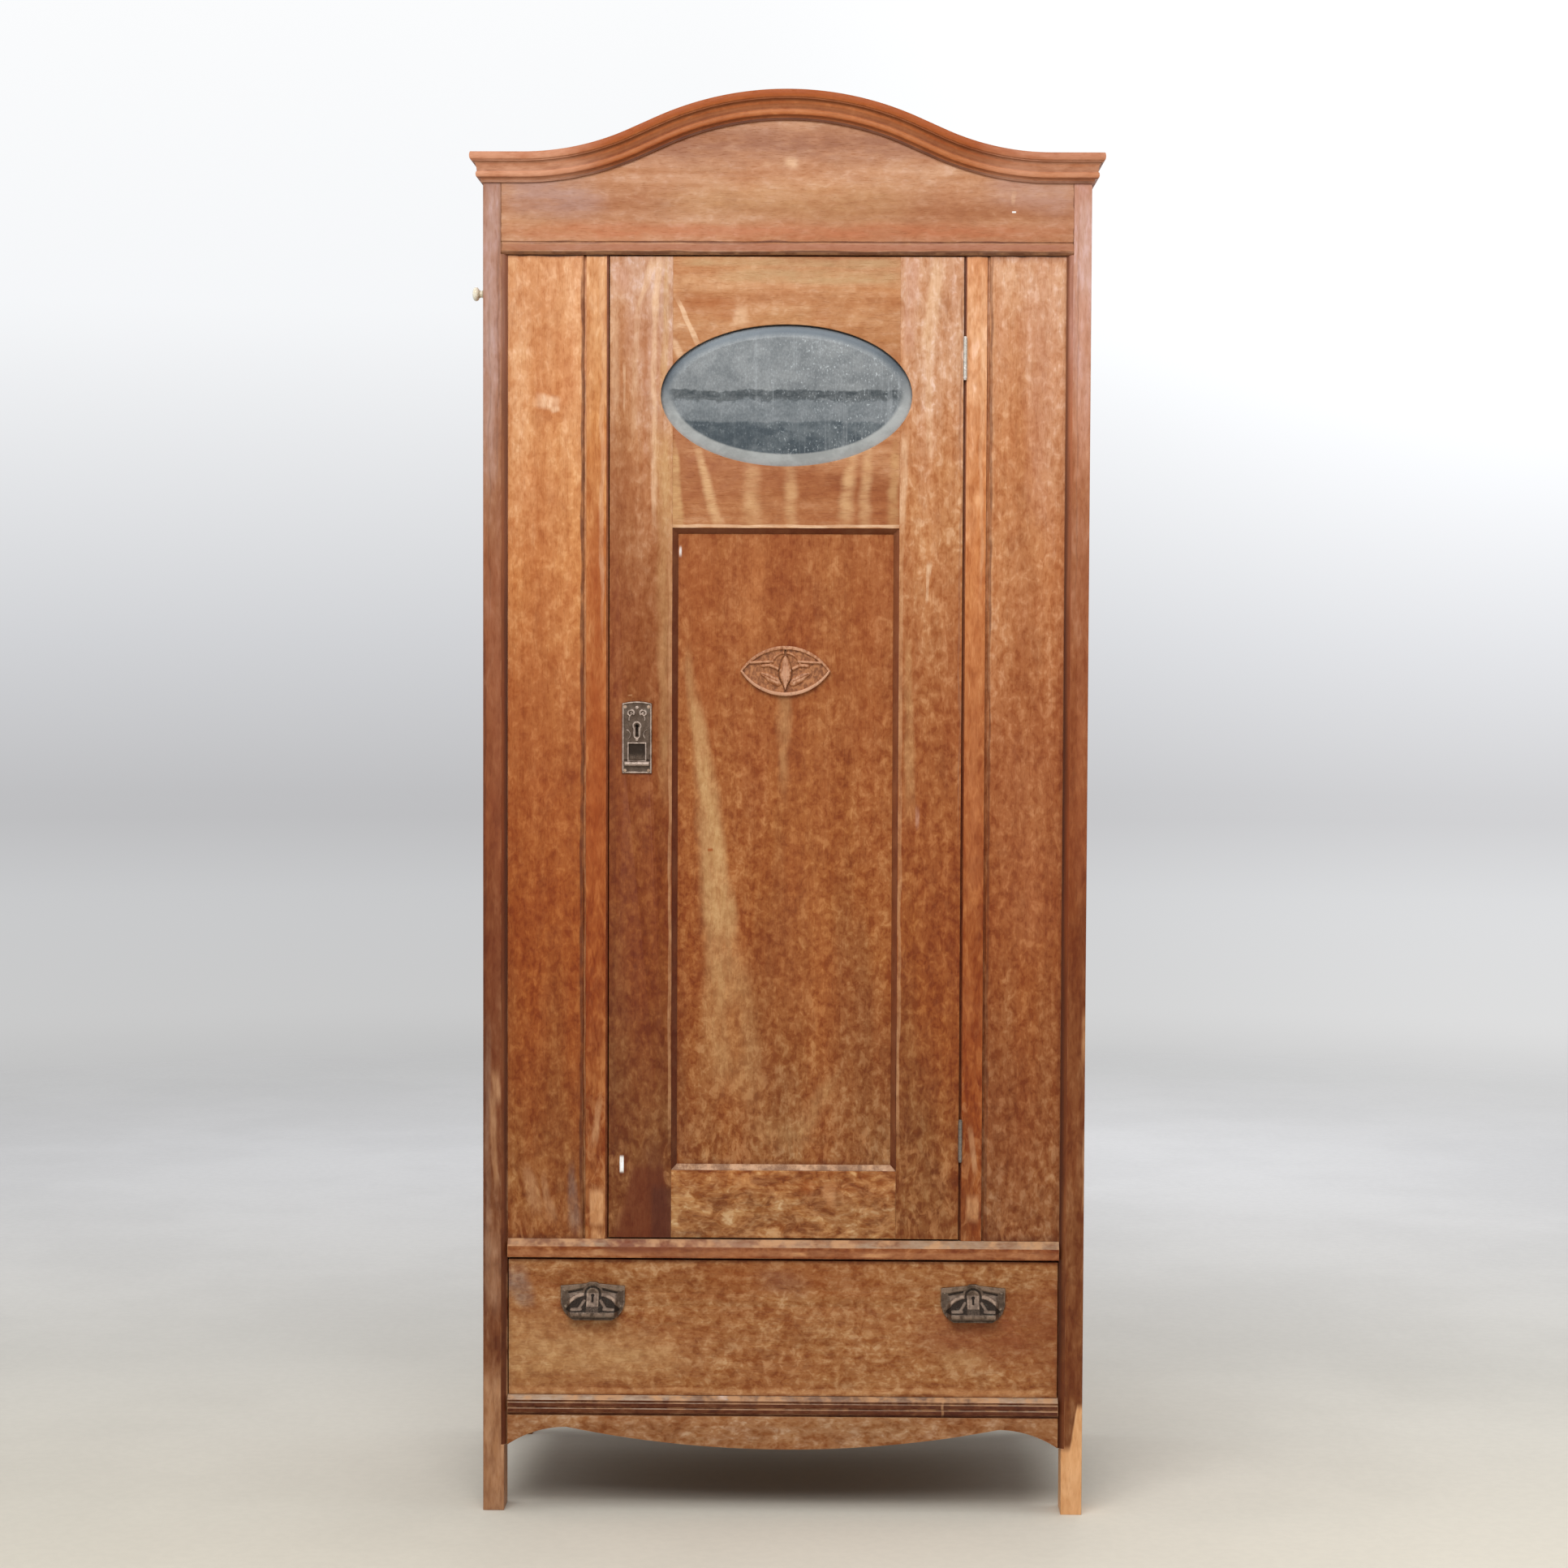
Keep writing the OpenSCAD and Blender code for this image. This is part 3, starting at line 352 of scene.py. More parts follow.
    def end(self, shader, kind="ShaderNodeOutputMaterial"):
        self.feed(self.node(kind).inputs[0], shader)
        return self.holder

    def surface(self, **inputs):
        """Ends the material in one Principled shader."""
        return self.end(self.shader("ShaderNodeBsdfPrincipled", **inputs))


def seed_place(number):
    """A far place in the noise, so that no two boards share their grain."""
    return (1.7 + number * 3.13, 4.1 + number * 1.71, 2.3 + number * 2.39)


def with_grain(p, place, grain):
    """The place with the grain along its third axis."""
    if grain == "curve":
        return p.attribute("grain").outputs["Vector"]
    x, y, z = p.axes(place)
    if grain == "x":
        return p.join(z, y, x)
    if grain == "y":
        return p.join(x, z, y)
    return place


def stroke(p, x, z, wobble, start, end, half_start, half_end, soft):
    """A tapering stroke on the front, from start to end: 1 in its middle, 0 outside it."""
    run = (end[0] - start[0], end[1] - start[1])
    length = math.hypot(*run)
    from_x = p.add(x, -start[0])
    from_z = p.add(z, -start[1])
    along = p.add(p.times(from_x, run[0] / length ** 2), p.times(from_z, run[1] / length ** 2))
    off = p.add(p.times(from_x, run[1] / length), p.times(from_z, -run[0] / length))
    off = p.size(p.add(off, p.times(wobble, soft * 0.003)))
    half = p.math("MULTIPLY_ADD", along, half_end - half_start, half_start)
    inner = p.times(half, 1.0 - soft)
    outer = p.times(half, 1.0 + soft * 0.35)
    inside = p.math("SUBTRACT", 1.0, p.band(off, inner, outer))
    lead = min(0.4, 0.03 + 0.12 * soft ** 2 + 0.015 * soft / length)
    ends = p.times(p.band(along, -lead, lead), p.band(along, 1.0 + lead, 1.0 - lead))
    return p.times(inside, ends)


def marked(p, colour, x, z, marks, seeded):
    """The colour with its marks: (start, end, half widths, colour, strength, softness)."""
    wobble = p.band(p.noise(seeded, (40, 40, 14)), 0.25, 0.75, -1.0, 1.0)
    broken = p.band(p.noise(seeded, (90, 90, 24), 3.0, 0.6), 0.3, 0.62, 0.52, 1.0)
    for start, end, halves, paint, strength, soft in marks:
        mask = stroke(p, x, z, wobble, start, end, halves[0], halves[1], soft)
        if soft > 0.3:
            mask = p.times(mask, broken)
        colour = p.blend(p.times(mask, strength), colour, paint)
    return colour


def worn_share(p, facing, seeded):
    """1 on an arris that hands have worn, 0 on a flat face."""
    nx, ny, nz = (p.size(a) for a in p.axes(facing))
    flat = p.math("MAXIMUM", nx, p.math("MAXIMUM", ny, nz))
    patches = p.band(p.noise(seeded, (28, 28, 28), 3.0, 0.65), 0.42, 0.62)
    return p.times(p.band(flat, 0.985, 0.88), patches)


def flecked(p, ground, seeded, z, mottle, run):
    """The oak's small light and dark flecks over its ground, calmer where the sun bleached it."""
    cell = p.noise(seeded, (88, 88, run * 0.42), 2.35, 0.74, 0.3)
    calm = p.times(p.band(z, 0.45, 1.75, 1.0, 0.4), mottle)
    light = p.times(p.band(cell, 0.5, 0.7), calm)
    dark = p.times(p.band(cell, 0.5, 0.32), calm)
    colour = p.blend(light, ground, p.tinted(ground, (1.26, 1.56, 2.05)))
    return p.blend(dark, colour, p.tinted(ground, (0.8, 0.63, 0.45))), p.add(light, p.times(dark, -1.0))


def blotched(p, ground, seeded, z, strength):
    """Large cloudy patches where the boards stood damp, strongest near the foot."""
    patch = p.noise(seeded, (36, 36, 27), 3.0, 0.62, 1.0)
    share = p.times(p.band(z, 0.72, 0.44, 0.3, 1.0), strength)
    light = p.times(p.band(patch, 0.5, 0.66), share)
    dark = p.times(p.band(patch, 0.48, 0.34), share)
    return p.toned(p.toned(ground, light, (1.34, 1.6, 1.85)), dark, (0.68, 0.56, 0.46))


def aged_and_top_lit(p, seeded, x, z, facing, climb, fade, low, high):
    """The finish by height, lighter higher up from sun fading and from painted light from above; faces that
    look back or inwards are as dark as at one low height.
    """
    broad = p.noise(seeded, (14, 14, 1.6))
    across, ny, _ = p.axes(facing)
    outward = p.times(across, p.math("SIGN", x))
    inside = p.math("MAXIMUM", p.band(ny, 0.4, 0.8), p.band(outward, -0.85, -0.97))
    height = p.math("MULTIPLY_ADD", z, climb, fade)
    height = p.add(p.times(height, p.math("SUBTRACT", 1.0, inside)), p.times(inside, INSIDE_AGE))
    age = p.add(height, p.band(broad, 0.25, 0.75, -0.15, 0.15))
    ground = p.ramp(p.times(age, 1.0 / AGE_TOP), [(at / AGE_TOP, c) for at, c in AGES_AND_TOP_LIGHT])
    return p.vector("MULTIPLY", ground, p.blend(p.band(z, 0.8, 1.7), low, high))


def rimmed_dirt_and_shade(p, ground, x, z, dirt, rim):
    """Dirt and painted shade along the edges of a panel, where it meets its frame; the rim is (node, width,
    strength).
    """
    (x0, _, z0), (x1, _, z1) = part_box(rim[0])
    aside = p.math("MINIMUM", p.add(x, -x0), p.add(p.times(x, -1.0), x1))
    above = p.math("MINIMUM", p.add(z, -z0), p.add(p.times(z, -1.0), z1))
    near = p.add(p.math("MINIMUM", aside, above), p.band(dirt, 0.3, 0.7, -0.002, 0.002))
    return p.toned(ground, p.band(near, rim[1], rim[1] * 0.1, 0.0, rim[2]), (0.5, 0.36, 0.3))


def shade_banded(p, colour, shade_bands):
    """Painted light and shade along a moulding, as lines each (middle, half width, colour, strength)."""
    girth = p.axes(p.attribute("grain").outputs["Vector"])[0]
    for middle, half, paint, strength in shade_bands:
        off = p.size(p.add(girth, -middle))
        colour = p.blend(p.times(p.band(off, half, half * 0.4), strength), colour, paint)
    return colour


def bevelled(p, colour, ground, x, z, facing, line, bevel):
    """The posts' bevels, stained dark and darkened further as painted shade next to the panels, lighter
    higher up: the colour with them, and where they are.
    """
    nx, ny, _ = p.axes(facing)
    nx = p.size(nx)
    slope = p.times(p.times(p.band(nx, 0.4, 0.52), p.band(nx, 0.8, 0.68)), p.band(ny, -0.6, -0.72))
    inner = p.band(p.size(x), INNER_X + 0.0075, INNER_X + 0.001)
    pale = p.blend(p.band(z, 1.15, 1.75, 0.0, 0.55), bevel, (0.26, 0.09, 0.042))
    shade = p.blend(inner, p.tinted(ground, (0.82, 0.74, 0.7)), pale)
    return p.blend(slope, colour, p.gain(shade, p.band(line, 0.3, 0.7), 0.85, 1.15)), slope


def oak(name, number, grain="z", fade=0.0, climb=1.0, low=(1, 1, 1), high=(1, 1, 1), mottle=1.0,
        figure=0.12, figure_top=0.0, wear=0.5, marks=(), ledge=None, ledge_below=9.0, bevel=None,
        grime=0.35, shade_bands=(), run=135.0, rim=None, blotch=0.6, around=()):
    """Stained and sun-faded oak, lighter higher up also from painted light from above. The marks are placed
    in the wardrobe's own frame.
    """
    p = Paint(bpy.data.materials.new(name))
    place = p.place()
    x, _, z = p.axes(place)
    seeded = p.shift(with_grain(p, place, grain), seed_place(number))
    facing = p.facing()
    _, ny, nz = p.axes(facing)

    ground = aged_and_top_lit(p, seeded, x, z, facing, climb, fade, low, high)
    cloud = p.noise(seeded, (15, 15, 7), 3.0, 0.55, 0.4)
    ground = p.varied(ground, p.band(cloud, 0.28, 0.72), (0.93, 0.84, 0.76), (1.06, 1.14, 1.2))
    streak = p.noise(seeded, (34, 34, 1.9), 2.0, 0.6)
    ground = p.varied(ground, p.band(streak, 0.3, 0.7), (0.92, 0.85, 0.78), (1.07, 1.13, 1.2))
    line = p.noise(seeded, (110, 110, 5), 2.0, 0.55)
    ground = p.varied(ground, p.band(line, 0.28, 0.72), (0.95, 0.91, 0.85), (1.05, 1.09, 1.16))
    ground = blotched(p, ground, seeded, z, blotch)
    dirt = p.noise(seeded, (30, 30, 12), 4.0, 0.7)
    ground = p.toned(ground, p.times(p.band(dirt, 0.52, 0.72), grime), (0.66, 0.56, 0.52))
    # Dirt and painted shade along the panel's edges, by its frame
    if rim:
        ground = rimmed_dirt_and_shade(p, ground, x, z, dirt, rim)

    colour, cells = flecked(p, ground, seeded, z, mottle, run)
    rays = p.band(p.noise(seeded, (60, 60, 30), 3.0, 0.62, 1.2), 0.5, 0.64)
    lowness = p.band(p.add(z, p.band(cloud, 0.2, 0.8, -0.05, 0.05)), figure_top + 0.05, figure_top - 0.03)
    share = p.times(rays, p.band(lowness, 0.0, 1.0, figure, 0.62 if figure_top else figure))
    colour = p.blend(share, colour, p.blend(0.55, RAY, p.tinted(ground, (1.3, 1.45, 1.5))))
    if shade_bands:
        colour = shade_banded(p, colour, shade_bands)
    # Upward faces low enough take the ledge colour: dust on the rails, a painted highlight on the bottom
    # bead
    if ledge:
        upward = p.times(p.band(nz, 0.25, 0.5), p.band(z, ledge_below + 0.002, ledge_below - 0.002))
        colour = p.blend(p.times(upward, p.band(dirt, 0.62, 0.4, 0.35, 1.0)), colour, ledge)
    if around:
        colour = marked(p, colour, x, z, around, seeded)
    if marks:
        colour = p.blend(p.band(ny, -0.15, -0.55), colour, marked(p, colour, x, z, marks, seeded))
    colour = p.varied(colour, p.band(cells, -0.8, 0.8), (0.93, 0.88, 0.82), (1.07, 1.12, 1.19))
    pits = p.band(p.noise(seeded, (900, 900, 70), 1.0), 0.42, 0.28)
    colour = p.toned(colour, pits, (0.9, 0.84, 0.78))

    worn = p.times(worn_share(p, facing, seeded), wear)
    # The posts' bevels: stain and painted shade
    if bevel:
        colour, slope = bevelled(p, colour, ground, x, z, facing, line, bevel)
        worn = p.times(worn, p.math("SUBTRACT", 1.0, slope))
    colour = p.blend(worn, colour, WORN)

    rough = p.band(p.add(p.times(cells, 0.15), p.times(dirt, 0.6)), 0.1, 0.6, 0.42, 0.62)
    height = p.add(p.times(pits, -0.7), p.add(p.times(line, 0.25), p.times(cells, 0.1)))
    return p.surface(Base_Color=colour, Roughness=rough, Specular_IOR_Level=0.22,
                     Normal=p.bump(height, 0.0006, 0.5))


def nailed(p, colour, along, z, rows):
    """Two rusty nail heads in each board where it crosses a rail; along counts in boards."""
    aside = p.add(p.size(p.add(p.math("FRACT", along), -0.5)), -NAIL_ASIDE)
    aside = p.times(aside, BOARD_PITCH)
    for row in rows:
        above = p.add(z, -row)
        far = p.math("SQRT", p.add(p.times(aside, aside), p.times(above, above)))
        colour = p.blend(p.band(far, 0.0075, 0.0025, 0.0, 0.45), colour, (0.15, 0.07, 0.035))
        colour = p.blend(p.band(far, 0.003, 0.0024, 0.0, 0.95), colour, (0.06, 0.042, 0.034))
    return colour


# Outer and inner reach, strength and colour, from a knot's halo to its heart
KNOT_RINGS = ((0.17, 0.07, 0.45, (0.33, 0.16, 0.068)), (0.085, 0.055, 0.85, (0.15, 0.065, 0.03)),
              (0.045, 0.02, 0.6, (0.24, 0.12, 0.055)))


def softwood(name, number, grain="z", shade=(1, 1, 1), boards=None, nails=()):
    """Pine as the unseen faces have it: yellow brown, with rings, knots and old dust."""
    p = Paint(bpy.data.materials.new(name))
    place = p.place()
    seeded = p.shift(with_grain(p, place, grain), seed_place(number))
    if boards:
        first, pitch = boards
        along = p.times(p.add(p.axes(place)[0], -first), 1.0 / pitch)
        board = p.math("FLOOR", along)
        seeded = p.shift(seeded, p.join(*(p.times(board, step) for step in (1.37, 0.71, 2.9))))
    sway = p.band(p.noise(seeded, (6, 6, 1.3)), 0.2, 0.8, -0.02, 0.02)
    ring_x, ring_y, ring_z = p.axes(seeded)
    swayed = p.join(p.add(ring_x, sway), ring_y, ring_z)
    rings = p.band(p.noise(swayed, (110, 110, 1.5)), 0.4, 0.66)
    colour = p.blend(rings, (0.545, 0.325, 0.155), (0.42, 0.215, 0.088))
    knot = p.spots(seeded, (5, 5, 2.2))
    for outer, inner, strength, paint in KNOT_RINGS:
        colour = p.blend(p.band(knot, outer, inner, 0.0, strength), colour, paint)
    stain = p.noise(seeded, (7, 7, 2.6), 4.0, 0.65)
    colour = p.blend(p.band(stain, 0.45, 0.75, 0.0, 0.5), colour, (0.3, 0.175, 0.09))
    if boards:
        tone = p.math("FRACT", p.add(p.times(board, 0.37), 0.1))
        colour = p.varied(colour, tone, (0.84, 0.8, 0.76), (1.08, 1.09, 1.1))
        joint = p.size(p.add(p.math("FRACT", along), -0.5))
        colour = p.blend(p.band(joint, 0.48, 0.497, 0.0, 0.75), colour, (0.085, 0.045, 0.022))
        colour = nailed(p, colour, along, p.axes(place)[2], nails)
    speck = p.noise(seeded, (420, 420, 60))
    colour = p.gain(p.tinted(colour, shade), p.band(speck, 0.3, 0.7), 0.86, 1.1)
    colour = p.blend(p.times(worn_share(p, p.facing(), seeded), 0.5), colour, (0.58, 0.4, 0.24))
    height = p.add(p.times(rings, 0.4), p.times(speck, 0.5))
    return p.surface(Base_Color=colour, Roughness=p.band(stain, 0.3, 0.8, 0.62, 0.82),
                     Specular_IOR_Level=0.25, Normal=p.bump(height, 0.0006, 0.5))


def bronze(name, number, lift=(0.232, 0.158, 0.112), deep=(0.018, 0.011, 0.007)):
    """Darkened bronze: black brown in the hollows, rubbed bright on what stands proud."""
    p = Paint(bpy.data.materials.new(name))
    seeded = p.shift(p.place(), seed_place(number))
    relief = p.attribute("relief").outputs["Fac"]
    grit = p.noise(seeded, (900, 900, 900), 3.0, 0.6)
    cloud = p.noise(seeded, (120, 120, 120), 3.0, 0.6)
    body = p.blend(p.band(cloud, 0.3, 0.7), (0.08, 0.05, 0.033), (0.136, 0.094, 0.068))
    proud = p.band(p.add(relief, p.band(cloud, 0.3, 0.7, -0.16, 0.16)), 0.55, 1.0)
    hollow = p.band(p.add(relief, p.band(grit, 0.3, 0.7, -0.08, 0.08)), 0.42, 0.14)
    colour = p.blend(proud, body, lift)
    colour = p.blend(hollow, colour, deep)
    green = p.times(p.band(cloud, 0.6, 0.72), VERDIGRIS)
    colour = p.blend(green, colour, (0.12, 0.15, 0.13))
    colour = p.gain(colour, p.band(grit, 0.3, 0.7), 0.78, 1.18)
    rough = p.band(p.add(p.times(grit, 0.5), p.times(hollow, 0.5)), 0.1, 0.8, 0.42, 0.75)
    return p.surface(Base_Color=colour, Metallic=0.45, Roughness=rough, Specular_IOR_Level=0.3,
                     Normal=p.bump(p.add(grit, cloud), 0.0004, 0.4))


def plated_steel(name, number, bright, dull, tarnish=0.45, dark_below=0.0):
    """Worn plating with brown tarnish; below the given height it is darker."""
    p = Paint(bpy.data.materials.new(name))
    place = p.place()
    _, _, z = p.axes(place)
    seeded = p.shift(place, seed_place(number))
    cloud = p.noise(seeded, (160, 160, 160), 4.0, 0.7)
    fine = p.noise(seeded, (1100, 1100, 1100))
    share = p.band(cloud, tarnish + 0.12, tarnish - 0.12, 1.0, 0.0)
    colour = p.blend(share, bright, dull)
    if dark_below:
        below = p.band(z, dark_below + 0.02, dark_below - 0.02, 0.0, 0.75)
        colour = p.blend(below, colour, (0.1, 0.07, 0.05))
    colour = p.gain(colour, p.band(fine, 0.3, 0.7), 0.85, 1.1)
    rough = p.band(p.add(p.times(share, 0.6), p.times(fine, 0.4)), 0.1, 0.9, 0.28, 0.6)
    return p.surface(Base_Color=colour, Metallic=0.85, Roughness=rough,
                     Normal=p.bump(p.add(cloud, fine), 0.0003, 0.35))


def old_mirror():
    """Old silvering behind ground glass, foxed, with a painted reflection of the room: lighter above, darker
    below, and a dark wavy band between that is partly lost silvering; the bevel has painted reflections, and
    the glass has a painted shadow under the rebate at the top.
    """
    p = Paint(bpy.data.materials.new("old_mirror"))
    place = p.place()
    x, _, z = p.axes(place)
    sway = p.noise(place, (30, 1, 6), 3.0, 0.6)
    wavy = p.add(z, p.band(sway, 0.25, 0.75, -0.0032, 0.0032))
    mist = p.noise(place, (30, 30, 40), 4.0, 0.7)
    speck = p.noise(place, (400, 400, 260), 2.0, 0.6)
    blotch = p.noise(place, (75, 75, 130), 3.0, 0.6)
    # Painted reflection of the room in front: the silvering is lighter above and darker below
    upper = p.blend(p.band(mist, 0.3, 0.7), (0.15, 0.162, 0.168), (0.213, 0.225, 0.228))
    middle = p.blend(p.band(mist, 0.3, 0.7), (0.134, 0.151, 0.161), (0.194, 0.21, 0.22))
    lower = p.blend(p.band(mist, 0.35, 0.65), (0.058, 0.074, 0.086), (0.12, 0.138, 0.148))
    colour = p.blend(p.band(wavy, 1.5785, 1.5825), lower, middle)
    colour = p.blend(p.band(wavy, 1.611, 1.615), colour, upper)
    # A dark wavy band between them: painted reflection of the horizon, with the ragged edge of lost
    # silvering
    foot = p.add(wavy, p.band(blotch, 0.3, 0.7, -0.004, 0.004))
    stain = p.times(p.band(foot, 1.6085, 1.6145), p.band(wavy, 1.627, 1.6245))
    colour = p.blend(p.times(stain, p.band(blotch, 0.3, 0.62, 1.0, 0.6)), colour, (0.036, 0.045, 0.05))
    runs = p.noise(place, (150, 1, 6), 2.0, 0.6)
    right = p.band(x, -0.09, 0.06, 0.25, 1.0)
    colour = p.blend(p.times(p.band(runs, 0.56, 0.74, 0.0, 0.45), right), colour, (0.29, 0.31, 0.32))
    flakes = p.times(p.band(speck, 0.58, 0.7), p.band(blotch, 0.42, 0.62))
    colour = p.blend(p.times(flakes, p.times(right, 0.75)), colour, (0.4, 0.43, 0.44))
    colour = p.gain(colour, p.band(speck, 0.3, 0.7), 0.9, 1.08)
    foxed = p.times(p.band(blotch, 0.7, 0.78), p.band(z, 1.62, 1.58, 0.1, 0.8))
    colour = p.blend(foxed, colour, (0.03, 0.03, 0.028))
    across = p.times(x, 1.0 / (MIRROR_A - MIRROR_BEVEL))
    upward = p.times(p.add(z, -MIRROR_Z), 1.0 / (MIRROR_B - MIRROR_BEVEL))
    out = p.math("SQRT", p.add(p.times(across, across), p.times(upward, upward)))
    # The bevel: painted reflections, dark above, light below and lighter at the upper left
    rim = p.band(out, 0.985, p.band(upward, -0.35, 0.35, 1.02, 1.1))
    turn = p.band(p.add(upward, p.times(across, -0.1)), 0.45, -0.35)
    bevel = p.blend(turn, (0.058, 0.074, 0.09), (0.38, 0.395, 0.39))
    left = p.times(p.band(across, 0.1, -0.7), p.band(upward, 0.2, 0.8))
    bevel = p.blend(p.times(left, 0.45), bevel, (0.14, 0.158, 0.172))
    bevel = p.gain(bevel, p.band(mist, 0.3, 0.7), 0.88, 1.1)
    colour = p.blend(rim, colour, bevel)
    # A painted shadow of the rebate's edge on the glass at the top
    colour = p.blend(p.times(p.band(out, 1.15, 1.215), p.band(upward, -0.3, 0.3, 0.0, 0.9)), colour,
                     (0.018, 0.022, 0.028))
    rough = p.band(p.add(p.times(speck, 0.5), mist), 0.4, 1.0, 0.28, 0.44)
    return p.surface(Base_Color=colour, Metallic=0.45, Roughness=rough, Specular_IOR_Level=0.3,
                     Coat_Weight=0.35, Coat_Roughness=0.1, Normal=p.bump(mist, 0.0003, 0.25))


def porcelain():
    """A glazed ivory knob, crazed, and darker in its first millimetre and a half from the post."""
    p = Paint(bpy.data.materials.new("knob_porcelain"))
    place = p.place()
    x, _, _ = p.axes(place)
    cloud = p.noise(place, (150, 150, 150), 3.0, 0.6)
    colour = p.blend(p.band(cloud, 0.35, 0.7), (0.8, 0.76, 0.63), (0.68, 0.6, 0.43))
    craze = p.spots(place, (420, 420, 420), "DISTANCE_TO_EDGE")
    colour = p.blend(p.band(craze, 0.05, 0.01, 0.0, 0.45), colour, (0.3, 0.22, 0.13))
    colour = p.blend(p.band(x, -0.439, -0.4365, 0.0, 0.8), colour, (0.12, 0.08, 0.05))
    return p.surface(Base_Color=colour, Roughness=p.band(cloud, 0.3, 0.8, 0.14, 0.3),
                     Coat_Weight=0.4, Coat_Roughness=0.06, Normal=p.bump(cloud, 0.0002, 0.2))


def carved_oak(name, number):
    """Oak of the door panel, rubbed pale on the carving's ridges and dark in its hollows."""
    p = Paint(bpy.data.materials.new(name))
    place = p.place()
    x, _, z = p.axes(place)
    seeded = p.shift(place, seed_place(number))
    relief = p.attribute("relief").outputs["Fac"]
    cell = p.noise(seeded, (220, 220, 150), 2.0, 0.6, 0.4)
    ground = p.blend(p.band(cell, 0.34, 0.66), (0.292, 0.098, 0.032), (0.44, 0.184, 0.074))
    rise = p.band(p.add(relief, p.band(cell, 0.3, 0.7, -0.12, 0.12)), 0.55, 0.95)
    foot = p.band(z, CARVING_Z + 0.012, CARVING_Z - 0.014, 0.65, 1.0)
    right = p.band(x, -0.03, 0.03, 0.82, 1.0)
    share = p.times(p.times(rise, foot), right)
    colour = p.blend(p.times(share, 0.9), ground, (0.63, 0.35, 0.22))
    hollow = p.band(p.add(relief, p.band(cell, 0.3, 0.7, -0.08, 0.08)), 0.4, 0.12)
    colour = p.blend(p.times(hollow, 0.75), colour, (0.135, 0.05, 0.022))
    pore = p.band(p.noise(seeded, (1000, 1000, 90), 1.0), 0.4, 0.3)
    colour = p.gain(colour, pore, 1.0, 0.7)
    return p.surface(Base_Color=colour, Roughness=p.band(cell, 0.3, 0.7, 0.42, 0.6),
                     Specular_IOR_Level=0.3, Normal=p.bump(p.add(cell, p.times(pore, -0.6)), 0.0005, 0.4))


def body_holding(node):
    """The name of the CAD body that a node rides on."""
    holder = frame["nodes"][node].parent
    return next(name for name, empty in frame["bodies"].items() if empty is holder)


def dress(piece, material):
    """Gives a piece one material."""
    piece.data.materials.clear()
    piece.data.materials.append(material)


def keep(node, material):
    """A CAD node whose shape is right gets its material."""
    dress(frame["nodes"][node], material)


def add_piece(name, mesh, material, body, stands_for):
    """A new piece in the row frame, riding on a body."""
    piece = bpy.data.objects.new(name, mesh)
    bpy.context.scene.collection.objects.link(piece)
    dress(piece, material)
    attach(piece, body)
    if stands_for:
        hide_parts(*stands_for)
    return piece


def eased(node, material, width=EASE_WIDTH):
    """A copy of a CAD node with its arrises eased, as a plane and years of use leave them."""
    mesh = frame["nodes"][node].data.copy()
    shape = bmesh.new()
    shape.from_mesh(mesh)
    bmesh.ops.remove_doubles(shape, verts=shape.verts, dist=SAME_POINT)
    bmesh.ops.dissolve_limit(shape, angle_limit=FLAT_WITHIN, verts=shape.verts, edges=shape.edges)
    shape.to_mesh(mesh)
    shape.free()
    mesh.shade_smooth()
    mesh.set_sharp_from_angle(angle=SHARP_ABOVE)
    piece = add_piece(node + "_eased", mesh, material, body_holding(node), (node,))
    ease = piece.modifiers.new("ease", "BEVEL")
    ease.width = width
    ease.segments = 2
    ease.limit_method = "ANGLE"
    ease.angle_limit = EASE_ABOVE
    ease.use_clamp_overlap = True
    ease.harden_normals = True
    return piece


def fresh_mesh(name, points, faces, smooth_angle=None):
    """A mesh from points and faces, smooth up to the given angle."""
    mesh = bpy.data.meshes.new(name)
    mesh.from_pydata([tuple(q) for q in points], [], faces)
    mesh.update()
    if smooth_angle is not None:
        mesh.shade_smooth()
        mesh.set_sharp_from_angle(angle=math.radians(smooth_angle))
    return mesh


def point_attribute(mesh, name, values, kind="FLOAT", field="value"):
    """A number or vector for each point, which a material can read by its name."""
    made = mesh.attributes.new(name, kind, "POINT")
    made.data.foreach_set(field, np.asarray(values, np.float32).ravel())


def ease_step(value, low, high):
    """0 below low and 1 above high, eased between."""
    share = np.clip((value - low) / (high - low), 0.0, 1.0)
    return share * share * (3.0 - 2.0 * share)


def ridge(distance, half):
    """A rounded ridge of the given half width, 1 on its line."""
    return np.sqrt(np.clip(1.0 - (distance / half) ** 2, 0.0, 1.0))


def arc_distance(x, z, centre, radius, start, end):
    """How far a point is from an arc; angles in degrees, counted from +X towards +Z."""
    start, end = math.radians(start), math.radians(end)
    angle = np.arctan2(z - centre[1], x - centre[0])
    middle, spread = (start + end) / 2, (end - start) / 2
    turn = np.clip((angle - middle + math.pi) % (2 * math.pi) - math.pi, -spread, spread) + middle
    return np.hypot(x - centre[0] - radius * np.cos(turn), z - centre[1] - radius * np.sin(turn))


def line_distance(x, z, start, end):
    """How far a point is from a straight line between two places."""
    run_x, run_z = end[0] - start[0], end[1] - start[1]
    share = np.clip(((x - start[0]) * run_x + (z - start[1]) * run_z) / (run_x ** 2 + run_z ** 2), 0, 1)
    return np.hypot(x - start[0] - share * run_x, z - start[1] - share * run_z)


def plain_grid(columns, rows):
    """Shares across, from -1 to 1, and up, from 0 to 1, over a grid."""
    across = np.linspace(-1, 1, columns)[None, :] * np.ones((rows, 1))
    return across, np.linspace(0, 1, rows)[:, None] * np.ones((1, columns))


